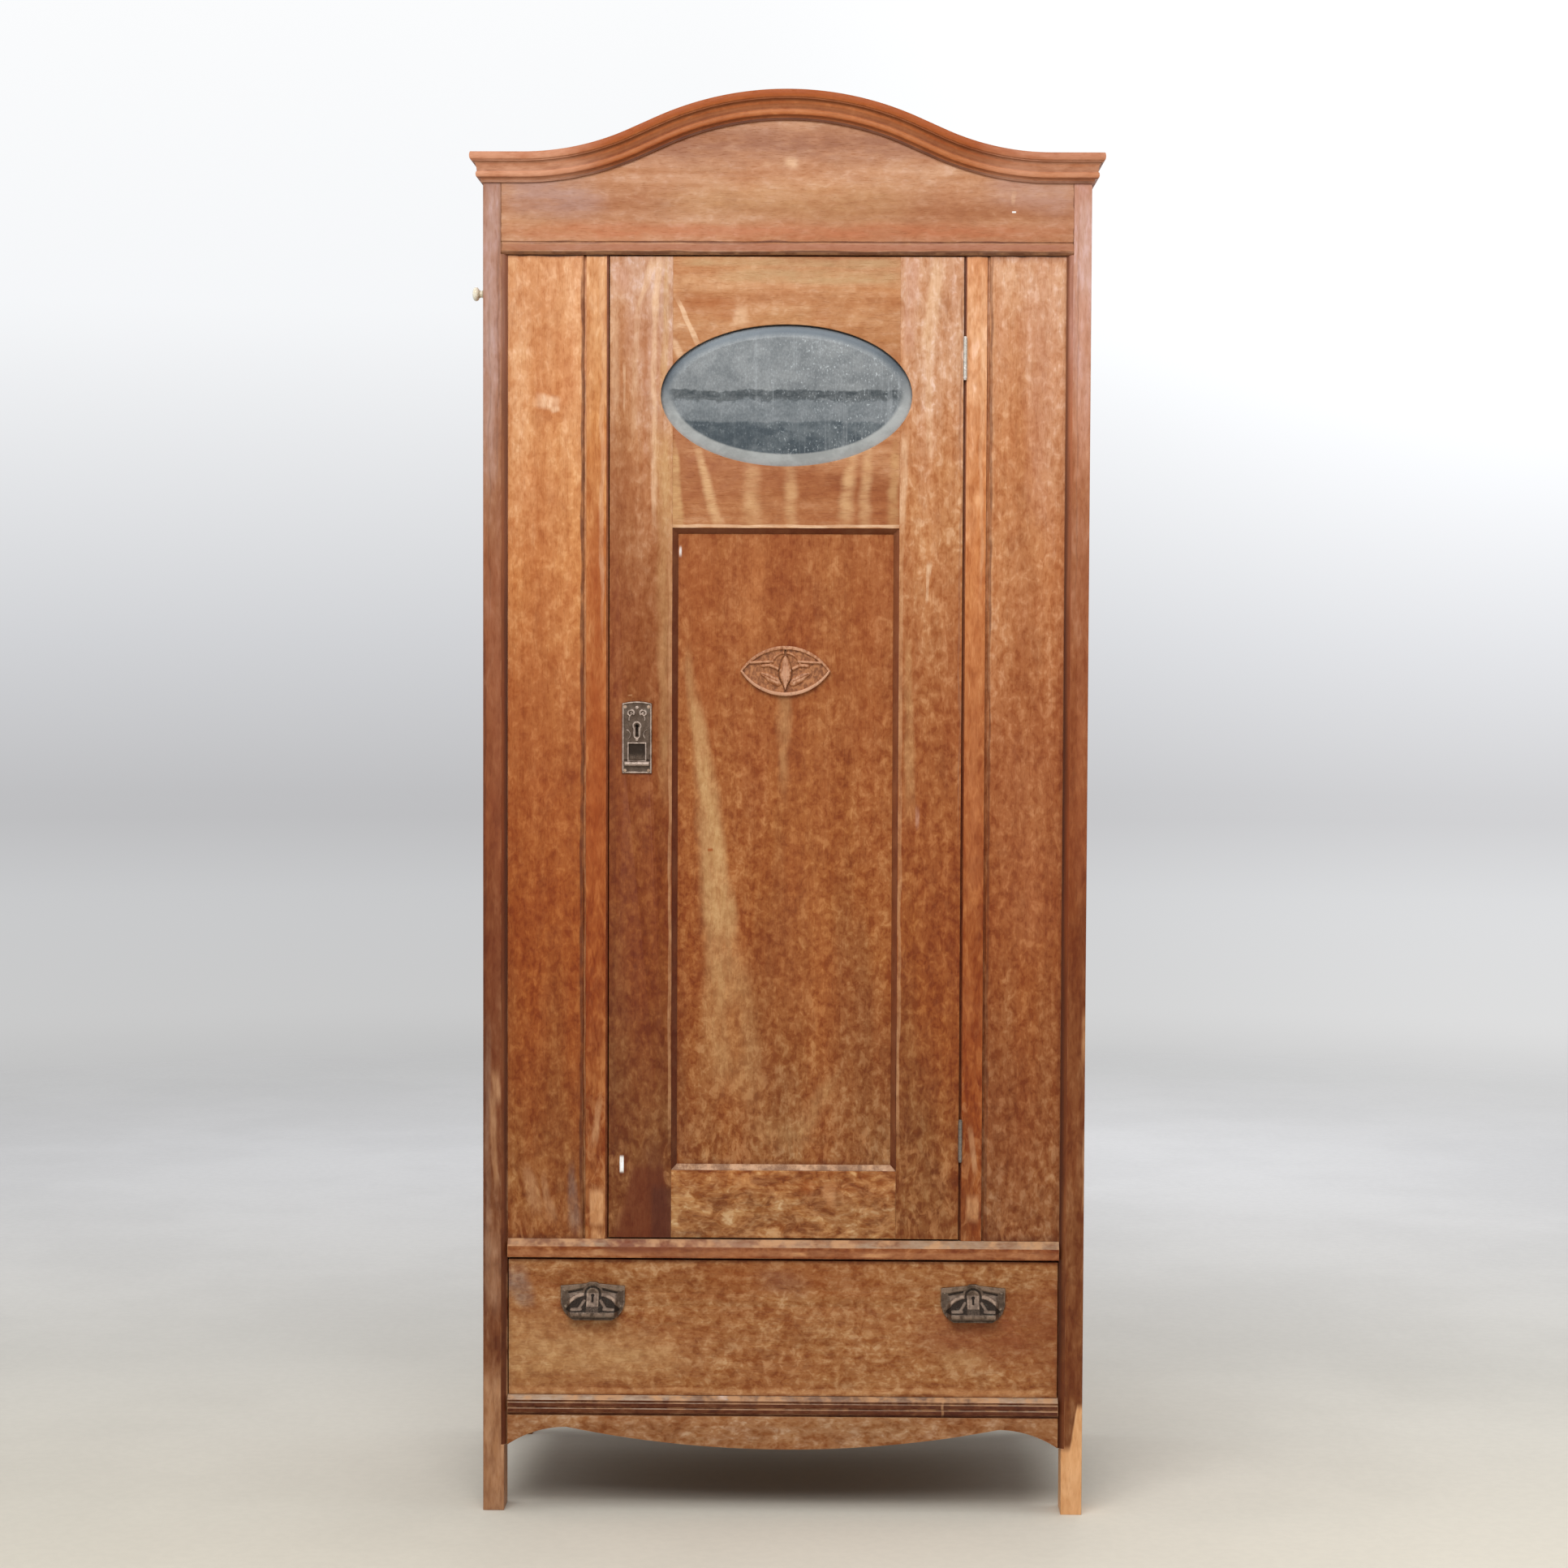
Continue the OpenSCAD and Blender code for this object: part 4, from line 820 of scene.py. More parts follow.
def relief_grid(x, z, proud, back_y, hidden=None):
    """Points, faces and heights of a relief over a grid, with walls back to back_y."""
    rows, columns = x.shape
    front = np.stack([x, back_y - proud, z], -1).reshape(-1, 3)
    keep_cell = np.ones((rows - 1, columns - 1), bool)
    if hidden is not None:
        keep_cell = ~(hidden[:-1, :-1] & hidden[1:, :-1] & hidden[:-1, 1:] & hidden[1:, 1:])
    faces = []
    for r in range(rows - 1):
        for c in range(columns - 1):
            if keep_cell[r, c]:
                at = r * columns + c
                faces.append((at, at + 1, at + columns + 1, at + columns))
    edge = [(0, c) for c in range(columns)] + [(r, columns - 1) for r in range(1, rows)]
    edge += [(rows - 1, c) for c in range(columns - 2, -1, -1)] + [(r, 0) for r in range(rows - 2, 0, -1)]
    first = len(front)
    wall = np.array([[x[r, c], back_y, z[r, c]] for r, c in edge])
    for i, (r, c) in enumerate(edge):
        j = (i + 1) % len(edge)
        faces.append((r * columns + c, first + i, first + j, edge[j][0] * columns + edge[j][1]))
    return np.vstack([front, wall]), faces, len(wall)


def cornice_profile():
    """The moulding's section from the top to the foot: how far out and down, as shares."""
    steps = [(0.0, 0.0), (0.84, 0.0)]
    steps += [(0.9 + 0.1 * math.sin(a), 0.13 - 0.13 * math.cos(a))
              for a in np.linspace(0.0, math.pi, 11)]
    steps += [(0.84, 0.268), (0.835, 0.3), (0.8, 0.312)]
    steps += [(0.8 - 0.34 * math.sin(a), 0.312 + 0.29 * (1 - math.cos(a)))
              for a in np.linspace(0.12, math.pi / 2, 9)]
    steps += [(0.445, 0.622), (0.455, 0.64)]
    steps += [(0.455 + 0.085 * math.sin(a), 0.735 - 0.095 * math.cos(a))
              for a in np.linspace(0.25, math.pi - 0.35, 9)]
    steps += [(0.36, 0.845), (0.22, 0.872), (0.2, 0.885), (0.165, 0.9), (0.16, 0.995), (0.0, 0.995)]
    return steps


def arch_stations(steps):
    """The crest from the left foot to the right one: x, z and slope."""
    foot_r = (ARCH_HALF * math.sin(ARCH_ANGLE) - (CREST_Z - FLAT_Z) * math.cos(ARCH_ANGLE))
    foot_r = foot_r / (1 - math.cos(ARCH_ANGLE)) - ARCH_TOP_R
    half = []
    for i in range(steps + 1):
        a = ARCH_ANGLE * i / steps
        half.append((ARCH_TOP_R * math.sin(a), CREST_Z - ARCH_TOP_R * (1 - math.cos(a)), a))
    for i in range(steps - 1, -1, -1):
        a = ARCH_ANGLE * i / steps
        half.append((ARCH_HALF - foot_r * math.sin(a), FLAT_Z + foot_r * (1 - math.cos(a)), a))
    return [(-x, z, -a) for x, z, a in half[:0:-1]] + half


def tube_faces(rings, count):
    """The faces of a closed tube through rings of count points."""
    faces = []
    for r in range(rings - 1):
        for c in range(count):
            d = (c + 1) % count
            faces.append((r * count + c, r * count + d, (r + 1) * count + d, (r + 1) * count + c))
    faces.append(tuple(range(count - 1, -1, -1)))
    last = (rings - 1) * count
    faces.append(tuple(range(last, last + count)))
    return faces


def swept(name, rings, alongs, girths):
    """A solid through rings of points, with the grain running along it."""
    points = [q for ring in rings for q in ring]
    mesh = fresh_mesh(name, points, tube_faces(len(rings), len(rings[0])))
    shape = bmesh.new()
    shape.from_mesh(mesh)
    bmesh.ops.recalc_face_normals(shape, faces=shape.faces)
    shape.to_mesh(mesh)
    shape.free()
    mesh.shade_smooth()
    mesh.set_sharp_from_angle(angle=math.radians(34))
    places = [(g, 0.31, a) for a in alongs for g in girths]
    point_attribute(mesh, "grain", places, "FLOAT_VECTOR", "vector")
    return mesh


def section_girths(profile):
    """How far along the section each of its points is."""
    girths = [0.0]
    for (a, b), (c, d) in zip(profile, profile[1:]):
        girths.append(girths[-1] + math.hypot((c - a) * CORNICE_OUT, (d - b) * CORNICE_H))
    return girths


def cornice_front():
    """The moulding along the arched head, mitred at both corners."""
    profile = cornice_profile()
    corner = [(HALF_W + o * CORNICE_OUT, POST_FACE_Y - o * CORNICE_OUT, FLAT_Z - d * CORNICE_H)
              for o, d in profile]
    rings = [[(-x, y, z) for x, y, z in corner]]
    alongs = [GRAIN_FROM - GRAIN_TURN]
    walked = GRAIN_FROM
    before = None
    for x, z, a in arch_stations(26):
        if before:
            walked += math.hypot(x - before[0], z - before[1])
        before = (x, z)
        rings.append([(x - d * CORNICE_H * math.sin(a), POST_FACE_Y - o * CORNICE_OUT,
                       z - d * CORNICE_H * math.cos(a)) for o, d in profile])
        alongs.append(walked)
    rings.append(corner)
    alongs.append(walked + GRAIN_TURN)
    return swept("cornice_front_shape", rings, alongs, section_girths(profile))


def cornice_return(side):
    """The moulding along one side, from its mitre to the back."""
    profile = cornice_profile()
    near = [(side * (HALF_W + o * CORNICE_OUT), POST_FACE_Y - o * CORNICE_OUT, FLAT_Z - d * CORNICE_H)
            for o, d in profile]
    rings = [near] + [[(x, y + (BACK_Y - y) * share, z) for x, y, z in near] for share in (0.3, 0.7, 1.0)]
    return swept("cornice_return_shape", rings, (0.0, 0.15, 0.35, 0.5), section_girths(profile))


def mirror_shape():
    """The ground glass: its plateau, its bevel and its edge under the rebate."""
    count = 160
    rings = ((-MIRROR_BEVEL - MIRROR_SHOULDER, MIRROR_FACE_Y),
             (-MIRROR_BEVEL + MIRROR_SHOULDER, MIRROR_SHOULDER_Y), (-0.0008, MIRROR_FOOT_Y),
             (0.0, MIRROR_FLANGE_Y), (MIRROR_UNDER, MIRROR_FLANGE_Y), (MIRROR_UNDER, MIRROR_BACK_Y))
    points = []
    for out, y in rings:
        for i in range(count):
            t = 2 * math.pi * i / count
            points.append(((MIRROR_A + out) * math.cos(t), y, MIRROR_Z + (MIRROR_B + out) * math.sin(t)))
    faces = [tuple(range(count))]
    for r in range(len(rings) - 1):
        for i in range(count):
            j = (i + 1) % count
            faces.append((r * count + i, (r + 1) * count + i, (r + 1) * count + j, r * count + j))
    faces.append(tuple(range(len(points) - 1, len(points) - count - 1, -1)))
    return fresh_mesh("mirror_shape", points, faces, 25)


def carving_shape():
    """A pointed oval: rim, two scrolls, a bud between its leaves."""
    half_w, half_h = CARVING_W / 2, CARVING_H / 2
    radius = (half_w ** 2 + half_h ** 2) / (2 * half_h)
    u = np.sin(np.linspace(-math.pi / 2, math.pi / 2, 260))[None, :] * np.ones((150, 1))
    v = np.linspace(-1, 1, 150)[:, None] * np.ones((1, 260))
    x = u * half_w * 0.999
    reach = np.sqrt(radius ** 2 - x ** 2) - (radius - half_h)
    z = v * reach
    mm = 1000.0
    px, pz = np.abs(x) * mm, z * mm
    depth = (1 - np.abs(v)) * reach * mm
    rim = ease_step(6.2 - depth, 0.0, 1.6) * (0.8 + 0.2 * ridge(depth - 3.2, 3.4))
    rim = np.where(pz > 0, rim * 0.78, rim)
    bud_half = 8.6 * np.sqrt(np.clip(1 - ((pz + 5.0) / 27.0) ** 2, 0, 1)) ** 1.3 * ease_step(pz, -33.0, -6.0)
    bud = np.where(px < bud_half, np.sqrt(np.clip(1 - (px / np.maximum(bud_half, 0.1)) ** 2, 0, 1)), 0.0)
    vein = ridge(px, 1.1) * (np.abs(pz + 6) < 17)
    leaf = line_distance(px, pz, (11.0, -16.0), (34.0, -4.0))
    leaf_body = ridge(leaf, 6.6 * np.clip((40.0 - px) / 16.0, 0.25, 1.0))
    leaf_fold = ridge(line_distance(px, pz, (12.0, -15.0), (33.0, -5.0)), 1.0)
    scroll = ridge(arc_distance(px, pz, (26.0, -18.0), 26.0, 75, 158), 2.8)
    crown = ridge(arc_distance(px, pz, (0.0, 4.0), 22.0, 18, 84), 2.1)
    arm = ridge(line_distance(px, pz, (19.0, 13.5), (50.0, 12.0)), 2.3)
    tip = ridge(line_distance(px, pz, (0.0, 27.0), (0.0, 33.0)), 3.0)
    height = np.maximum.reduce([
        np.full_like(px, 0.22), rim, 0.25 + 0.55 * leaf_body - 0.18 * leaf_fold, 0.3 + 0.5 * scroll,
        0.28 + 0.42 * crown, 0.3 + 0.62 * arm, 0.3 + 0.6 * tip,
        0.2 + 0.75 * bud - 0.14 * vein * (bud > 0.2)])
    beside = (bud <= 0.02) & (px < bud_half + 1.6) & (depth > 5.0)
    height = np.where(beside, np.minimum(height, 0.16), height)
    proud = height * CARVING_T
    points, faces, walls = relief_grid(x, z + CARVING_Z, proud, PANEL_FACE_Y)
    mesh = fresh_mesh("carving_shape", points, faces, 60)
    point_attribute(mesh, "relief", np.concatenate([height.ravel(), np.full(walls, 0.1)]))
    return mesh


def lock_plate_shape():
    """The escutcheon: arched head with scrolls, keyhole, finger recess and a beaded lip."""
    u, v = plain_grid(120, 280)
    mm = 1000.0
    px = u * PLATE_W * mm / 2
    height_mm = (PLATE_TOP_Z - PLATE_FOOT_Z) * mm
    top = height_mm - PLATE_ARCH * mm * u ** 2
    pz = v * top
    side = PLATE_W * mm / 2 - np.abs(px)
    border = np.minimum(np.minimum(side, pz), top - pz)
    key_z = (KEYHOLE_Z - PLATE_FOOT_Z) * mm
    ax = np.abs(px)
    hole = np.minimum(np.hypot(px, pz - key_z), line_distance(px, pz, (0, key_z), (0, key_z - 14)) + 1.4)
    forms = ((0.58, np.hypot(ax - 16.8, pz - 95.5), 3.3),
             (0.5, arc_distance(ax, pz, (8.6, 87.0), 4.4, -60, 210), 1.7),
             (0.5, np.hypot(ax - 8.6, pz - 87.0), 1.9), (0.5, np.hypot(px, pz - 95.0), 3.0),
             (0.46, arc_distance(ax, pz, (3.0, 78.0), 8.5, -10, 80), 1.3), (0.5, hole - 5.4, 1.5),
             (0.48, np.hypot(px, pz - 48.6), 2.6),
             (0.4, arc_distance(ax, pz, (16.5, 56.0), 7.0, 110, 230), 1.2))
    level = np.maximum(np.full_like(px, 0.4), 0.4 + 0.55 * ridge(border - 1.5, 1.5))
    for rise, distance, half in forms:
        level = np.maximum(level, 0.42 + rise * ridge(distance, half))
    pits = ((10.5, 92.5), (13.5, 82.0), (9.0, 63.0), (16.5, 70.0), (14.0, 52.0))
    dents = sum(ridge(np.hypot(ax - a, pz - b), 2.4) for a, b in pits) + ridge(np.hypot(px, pz - 87.0), 2.4)
    level = level - 0.4 * np.clip(dents, 0, 1)
    frame_x, frame_z = np.abs(px) - 11.5, np.abs(pz - 31.0) - 11.5
    out = np.maximum(frame_x, frame_z)
    level = np.where(out > 0, np.maximum(level, 0.42 + 0.52 * ridge(out - 1.3, 1.3)), level)
    scoop = 0.12 + 0.26 * ease_step(31.0 - pz, -2.0, 11.5)
    level = np.where(out < 0, scoop, level)
    level = level * 3.2
    lip = ridge(pz - 14.0, 3.5) * ease_step(18.6 - ax, 0.0, 1.0)
    beads = 0.86 + 0.14 * np.maximum.reduce([ridge(px - c, 3.6) for c in (-13.5, -4.5, 4.5, 13.5)])
    lip_level = 3.2 + 4.0 * lip * beads
    level = np.where(lip > 0, np.maximum(level, lip_level), level)
    groove = ridge(pz - 18.9, 1.0) * (ax < 18)
    level = np.where(lip > 0, level, level - 0.7 * groove)
    hidden = (np.hypot(px, pz - key_z) < 2.9) | ((ax < 1.45) & (pz < key_z) & (pz > key_z - 15))
    points, faces, walls = relief_grid(px / mm + KEYHOLE_X, pz / mm + PLATE_FOOT_Z, level / mm,
                                       DOOR_FACE_Y, hidden)
    mesh = fresh_mesh("lock_plate_shape", points, faces, 60)
    shown = np.where(lip > 0.05, 0.45 + 0.55 * lip * beads, np.clip(level / 3.2, 0, 1))
    point_attribute(mesh, "relief", np.concatenate([shown.ravel(), np.full(walls, 0.3)]))
    return mesh


PULL_SIDE = ((-1.0, 0.6), (-0.8, 0.78), (-0.5, 0.92), (-0.1, 1.0), (1.0, 1.0))
PULL_TOP = ((0.0, 1.0), (0.1, 1.0), (0.2, 0.92), (0.45, 0.88), (1.0, 0.8))


def pull_front():
    """The pull's stamped front: place in mm about its middle, its height and its relief."""
    u, v = plain_grid(200, 130)
    top = np.interp(np.abs(u), *zip(*PULL_TOP))
    share_z = -1 + v * (top + 1)
    half = np.interp(share_z, *zip(*PULL_SIDE))
    px = u * half * PULL_W * HALF_MM
    pz = share_z * PULL_H * HALF_MM
    ax = np.abs(px)
    slope = np.clip((12.0 - pz) / 25.0, 0, 1)
    sides = ease_step(38.0 - ax, 0.0, 6.0)
    hood = 15.6 * slope * sides
    hood = np.where(pz < -21.0, 0.0, hood)
    edge = (half * PULL_W * HALF_MM - ax, (top - share_z) * PULL_H * HALF_MM,
            (share_z + 1) * PULL_H * HALF_MM)
    rim = np.minimum.reduce(edge)
    level = np.full_like(px, 0.46)
    foot_line = 15.5 + 7.0 * np.clip(1 - ax / 34.0, 0, 1)
    band = ease_step(pz, foot_line - 1.0, foot_line + 1.0) * ease_step(ax, 2.0, 14.0)
    level = np.maximum(level, 0.46 + 0.42 * band)
    level = np.maximum(level, 0.46 + 0.3 * ridge(rim - 1.1, 1.3))
    level = level - 0.3 * ridge(pz - foot_line + 2.6, 1.8) * (ax < 36)
    boss_x, boss_z = 8.8, 10.5
    dome = np.where(pz > boss_z, np.hypot(ax, pz - boss_z), ax) / boss_x
    boss = (dome < 1) & (pz > -6.0)
    level = np.where(boss, 0.44 + 0.16 * np.sqrt(np.clip(1 - dome ** 2, 0, 1)), level)
    level = np.where((np.abs(dome - 0.86) < 0.17) & (pz > -6.0), 0.74, level)
    level = np.where((np.abs(dome - 1.22) < 0.16) & (pz > 4.0), 0.2, level)
    level = np.where((np.abs(dome - 1.58) < 0.16) & (pz > 8.0), 0.62, level)
    level = np.where((np.hypot(px, pz - 8.8) < 2.2) | ((ax < 1.2) & (pz < 9.0) & (pz > 0.0)), 0.03, level)
    arc = arc_distance(ax, pz, (8.0, -26.0), 37.0, 30, 79)
    # A painted highlight: the arcs are lighter near 29 mm out, where they catch the light
    shine = 0.3 + 0.25 * np.clip(1 - np.abs(ax - 29.0) / 6.0, 0, 1)
    level = np.where(arc < 2.8, np.maximum(level, 0.46 + shine * ridge(arc, 2.8)), level)
    below = (pz < -26.0 + np.sqrt(np.clip(34.0 ** 2 - (ax - 8.0) ** 2, 0, None))) & (ax < 39) & (dome > 1.0)
    below &= pz > -13.5
    level = np.where(below, 0.17, level)
    leaves = np.maximum(ridge(line_distance(ax, pz, (12.0, 2.0), (19.0, -8.0)), 2.2),
                        ridge(line_distance(ax, pz, (17.0, -9.0), (30.0, -9.5)), 2.4))
    level = np.where(below, level + 0.3 * leaves, level)
    level = np.where((pz <= -6.0) & (pz > -13.5) & (ax < 9), 0.26, level)
    lip = (pz <= -13.5) & (pz > -21.0) & (ax < 37.5)
    beads = np.maximum.reduce([ridge(line_distance(px, pz, (c - 4.2, -17.0), (c + 4.2, -17.0)), 3.0)
                               for c in (-25.5, -8.5, 8.5, 25.5)])
    level = np.where(lip, 0.36 + 0.22 * ridge(pz + 17.0, 4.2) + 0.32 * beads, level)
    relief = np.clip(level, 0.0, 1.0)
    proud = 2.2 + hood + relief * 1.6
    return px, pz, proud, relief


def pull_shape(side):
    """One drawer pull: a stamped front over a flat plate, open below for the fingers."""
    px, pz, proud, relief = pull_front()
    rows, columns = px.shape
    place_x = side * PULL_X
    front = np.stack([px / 1000 + place_x, DOOR_FACE_Y - proud / 1000, pz / 1000 + PULL_Z], -1)
    faces = []
    for r in range(rows - 1):
        for c in range(columns - 1):
            cell = proud[r:r + 2, c:c + 2]
            at = r * columns + c
            if cell[1].min() - cell[0].max() <= 6.0:
                faces.append((at, at + 1, at + columns + 1, at + columns))
    mesh = fresh_mesh("pull_front_shape", front.reshape(-1, 3), faces, 60)
    point_attribute(mesh, "relief", relief)
    return mesh


def pull_plate_shape(side):
    """The flat plate behind a pull."""
    outline = [(-1, 0.8), (-0.45, 0.88), (-0.2, 0.92), (-0.1, 1), (0.1, 1), (0.2, 0.92), (0.45, 0.88),
               (1, 0.8), (1, -0.1), (0.92, -0.5), (0.78, -0.8), (0.6, -1), (-0.6, -1), (-0.78, -0.8),
               (-0.92, -0.5), (-1, -0.1)]
    place = [(side * PULL_X + a * PULL_W / 2, PULL_Z + b * PULL_H / 2) for a, b in outline]
    count = len(place)
    points = [(x, DOOR_FACE_Y - 0.0019, z) for x, z in place] + [(x, DOOR_FACE_Y, z) for x, z in place]
    faces = [tuple(range(count - 1, -1, -1)), tuple(range(count, 2 * count))]
    faces += [(i, (i + 1) % count, count + (i + 1) % count, count + i) for i in range(count)]
    mesh = fresh_mesh("pull_plate_shape", points, faces, 30)
    point_attribute(mesh, "relief", [0.25] * (2 * count))
    return mesh


def turned(name, profile, count, place):
    """A turned shape along -X from a place, from (distance, radius) pairs."""
    points = []
    for out, radius in profile:
        for k in range(count):
            t = 2 * math.pi * k / count
            points.append((place[0] - out, place[1] + radius * math.cos(t), place[2] + radius * math.sin(t)))
    return fresh_mesh(name, points, tube_faces(len(profile), count), 40)


def knob_shape():
    """A mushroom knob with a waisted neck and a collar."""
    profile = [(0.0, 0.0072), (0.0012, 0.0074), (0.002, 0.007), (0.0028, 0.0058), (0.0042, 0.005),
               (0.006, 0.005), (0.0074, 0.006)]
    for i in range(15):
        t = -0.42 * math.pi + (0.5 + 0.42) * math.pi * i / 14
        swell = math.cos(t) ** 0.75 if i < 14 else 0.0
        profile.append((0.0124 + 0.005 * math.sin(t), 0.0012 + (KNOB_R - 0.0012) * swell))
    return turned("knob_shape", profile, 64, KNOB_PLACE)


def light_area(name, place, target, size, power):
    """A soft lamp looking at a target."""
    lamp = bpy.data.lights.new(name, "AREA")
    lamp.shape = "RECTANGLE"
    lamp.size, lamp.size_y = size
    lamp.energy = power
    piece = bpy.data.objects.new(name, lamp)
    piece.location = place
    piece.rotation_euler = (Vector(target) - Vector(place)).to_track_quat("-Z", "Y").to_euler()
    bpy.context.scene.collection.objects.link(piece)
    return piece


def camera():
    """The camera, turned as it was fitted to the straight edges of the wardrobe."""
    yaw, down, roll = (math.radians(a) for a in (CAMERA_YAW, CAMERA_DOWN, CAMERA_ROLL))
    ahead = Vector((math.sin(yaw) * math.cos(down), math.cos(yaw) * math.cos(down), -math.sin(down)))
    right = Vector((math.cos(yaw), -math.sin(yaw), 0.0))
    up = right.cross(ahead)
    side = right * math.cos(roll) + up * math.sin(roll)
    top = up * math.cos(roll) - right * math.sin(roll)
    data = bpy.data.cameras.new("camera")
    data.lens = CAMERA_LENS
    data.sensor_width = CAMERA_SENSOR
    data.clip_start = 0.05
    data.clip_end = 100.0
    made = bpy.data.objects.new("camera", data)
    turn = Matrix((side, top, -ahead)).transposed().to_4x4()
    made.matrix_world = Matrix.Translation(CAMERA_PLACE) @ turn
    bpy.context.scene.collection.objects.link(made)
    bpy.context.scene.camera = made


def world():
    """Even light on the object, and a pale sweep for what the camera and the gloss see."""
    p = Paint(bpy.data.worlds.new("studio"))
    bpy.context.scene.world = p.holder
    across, _, up = p.axes(p.coordinates().outputs["Generated"])
    sweep = p.ramp(p.math("MULTIPLY_ADD", up, 0.5, 0.5), SKY)
    lit = p.node("ShaderNodeVectorMath", operation="SCALE")
    p.feed(lit.inputs[0], sweep)
    p.feed(lit.inputs["Scale"], p.band(across, -0.05, 0.24, 0.985, 1.23))
    seen = p.node("ShaderNodeLightPath").outputs
    gloss = p.math("MAXIMUM", seen["Is Glossy Ray"], seen["Is Transmission Ray"])
    either = p.math("MAXIMUM", seen["Is Camera Ray"], gloss)
    fill = p.shader("ShaderNodeBackground", Color=FILL_TINT, Strength=WORLD_FILL)
    shown = p.shader("ShaderNodeBackground", Color=lit.outputs[0])
    p.end(p.mixed(either, fill, shown), "ShaderNodeOutputWorld")


def floor():
    """A wide pale floor that fades into the sweep behind it, with painted light towards the right and a
    painted shadow under the wardrobe.
    """
    p = Paint(bpy.data.materials.new("studio_floor"))
    place = p.place()
    x, y, _ = p.axes(place)
    cloud = p.noise(place, (1.3, 1.3, 1.3), 4.0, 0.6)
    fine = p.noise(place, (60, 60, 60), 3.0, 0.6)
    colour = p.ramp(p.band(y, -1.4, 3.4), ((0.0, FLOOR_NEAR), (0.42, FLOOR_MID), (1.0, FLOOR_FAR)))
    # Painted light: the floor is lighter towards the right
    colour = p.gain(colour, p.band(x, -0.8, 1.6), 1.0, 1.14)
    colour = p.gain(colour, p.band(cloud, 0.3, 0.7), 0.965, 1.03)
    colour = p.gain(colour, p.band(fine, 0.3, 0.7), 0.985, 1.01)
    # A painted shadow under the wardrobe, darkening the floor between its legs
    under = p.times(p.band(p.size(x), 0.44, 0.34), p.times(p.band(y, -0.24, -0.14), p.band(y, 0.3, 0.2)))
    colour = p.toned(colour, p.times(under, 0.68), (0.3, 0.26, 0.24))
    away = p.math("SQRT", p.add(p.times(x, x), p.times(y, y)))
    solid = p.shader("ShaderNodeBsdfDiffuse", Color=colour)
    p.end(p.mixed(p.band(away, 2.6, 6.5), solid, p.shader("ShaderNodeBsdfTransparent")))
    turns = [2 * math.pi * k / FLOOR_CORNERS for k in range(FLOOR_CORNERS)]
    points = [(FLOOR_REACH * math.cos(t), FLOOR_REACH * math.sin(t), 0.0) for t in turns]
    mesh = fresh_mesh("studio_floor_shape", points, [tuple(range(FLOOR_CORNERS))])
    ground = bpy.data.objects.new("studio_floor", mesh)
    ground.data.materials.append(p.holder)
    bpy.context.scene.collection.objects.link(ground)


def lights():
    """One broad soft lamp above and before the wardrobe, and weak ones for its other sides."""
    light_area("key", (-0.5, -3.0, 3.6), (0.0, 0.0, 1.15), (3.2, 2.0), KEY_POWER)
    light_area("fill_left", (-3.4, 0.4, 2.4), (0.0, 0.0, 1.0), (2.2, 2.4), SIDE_POWER)
    light_area("fill_right", (3.4, 0.2, 2.4), (0.0, 0.0, 1.0), (2.2, 2.4), SIDE_POWER)
    light_area("fill_back", (0.3, 3.6, 2.8), (0.0, 0.2, 1.0), (2.6, 2.4), BACK_POWER)


# Marks of wear, dirt and sun, and some lines of painted shade, each (start, end, half widths, colour,
# strength, softness), in x and z
STILE_LEFT_MARKS = (
    ((-0.172, 1.812), (-0.176, 1.6), (0.006, 0.005), STRAW, 0.6, 0.8),
    ((-0.184, 1.812), (-0.19, 1.735), (0.006, 0.005), BONE, 0.62, 0.7),
    ((-0.189, 1.75), (-0.189, 1.44), (0.0045, 0.0045), BONE, 0.55, 0.7),
    ((-0.191, 1.812), (-0.213, 1.746), (0.0065, 0.0035), BONE, 0.5, 0.6),
    ((-0.214, 1.75), (-0.22, 1.56), (0.007, 0.005), BONE, 0.26, 0.8),
    ((-0.247, 1.745), (-0.2465, 1.59), (0.0085, 0.006), BONE, 0.34, 0.8),
    ((-0.202, 1.7), (-0.204, 1.48), (0.005, 0.006), CHESTNUT, 0.3, 1.0),
    ((-0.233, 1.66), (-0.2329, 1.597), (0.0022, 0.0018), BONE, 0.45, 0.4),
    ((-0.235, 1.8), (-0.23, 1.765), (0.016, 0.014), BLUSH, 0.5, 0.7),
    ((-0.179, 1.56), (-0.17, 1.432), (0.013, 0.014), STRAW, 0.62, 0.8),
    ((-0.175, 1.43), (-0.174, 1.06), (0.012, 0.008), STRAW, 0.38, 0.9),
    ((-0.166, 1.425), (-0.1655, 0.56), (0.003, 0.0024), WORN, 0.5, 0.4),
    ((-0.196, 0.503), (-0.203, 0.38), (0.024, 0.052), (0.128, 0.025, 0.006), 0.88, 0.3),
    ((-0.19, 0.545), (-0.193, 0.49), (0.01, 0.026), (0.15, 0.042, 0.013), 0.5, 0.9),
    ((-0.185, 0.52), (-0.182, 0.44), (0.012, 0.02), (0.105, 0.022, 0.006), 0.66, 0.6),
    ((-0.175, 0.475), (-0.174, 0.38), (0.017, 0.02), (0.078, 0.018, 0.008), 0.7, 0.3),
    ((-0.2345, 0.5185), (-0.2343, 0.496), (0.003, 0.0031), CHALK, 1.0, 0.15),
    ((-0.224, 1.188), (-0.2238, 1.186), (0.0034, 0.003), WORN, 0.7, 0.4),
    ((-0.249, 1.17), (-0.2485, 0.56), (0.006, 0.006), BLOOD, 0.22, 0.7),
)
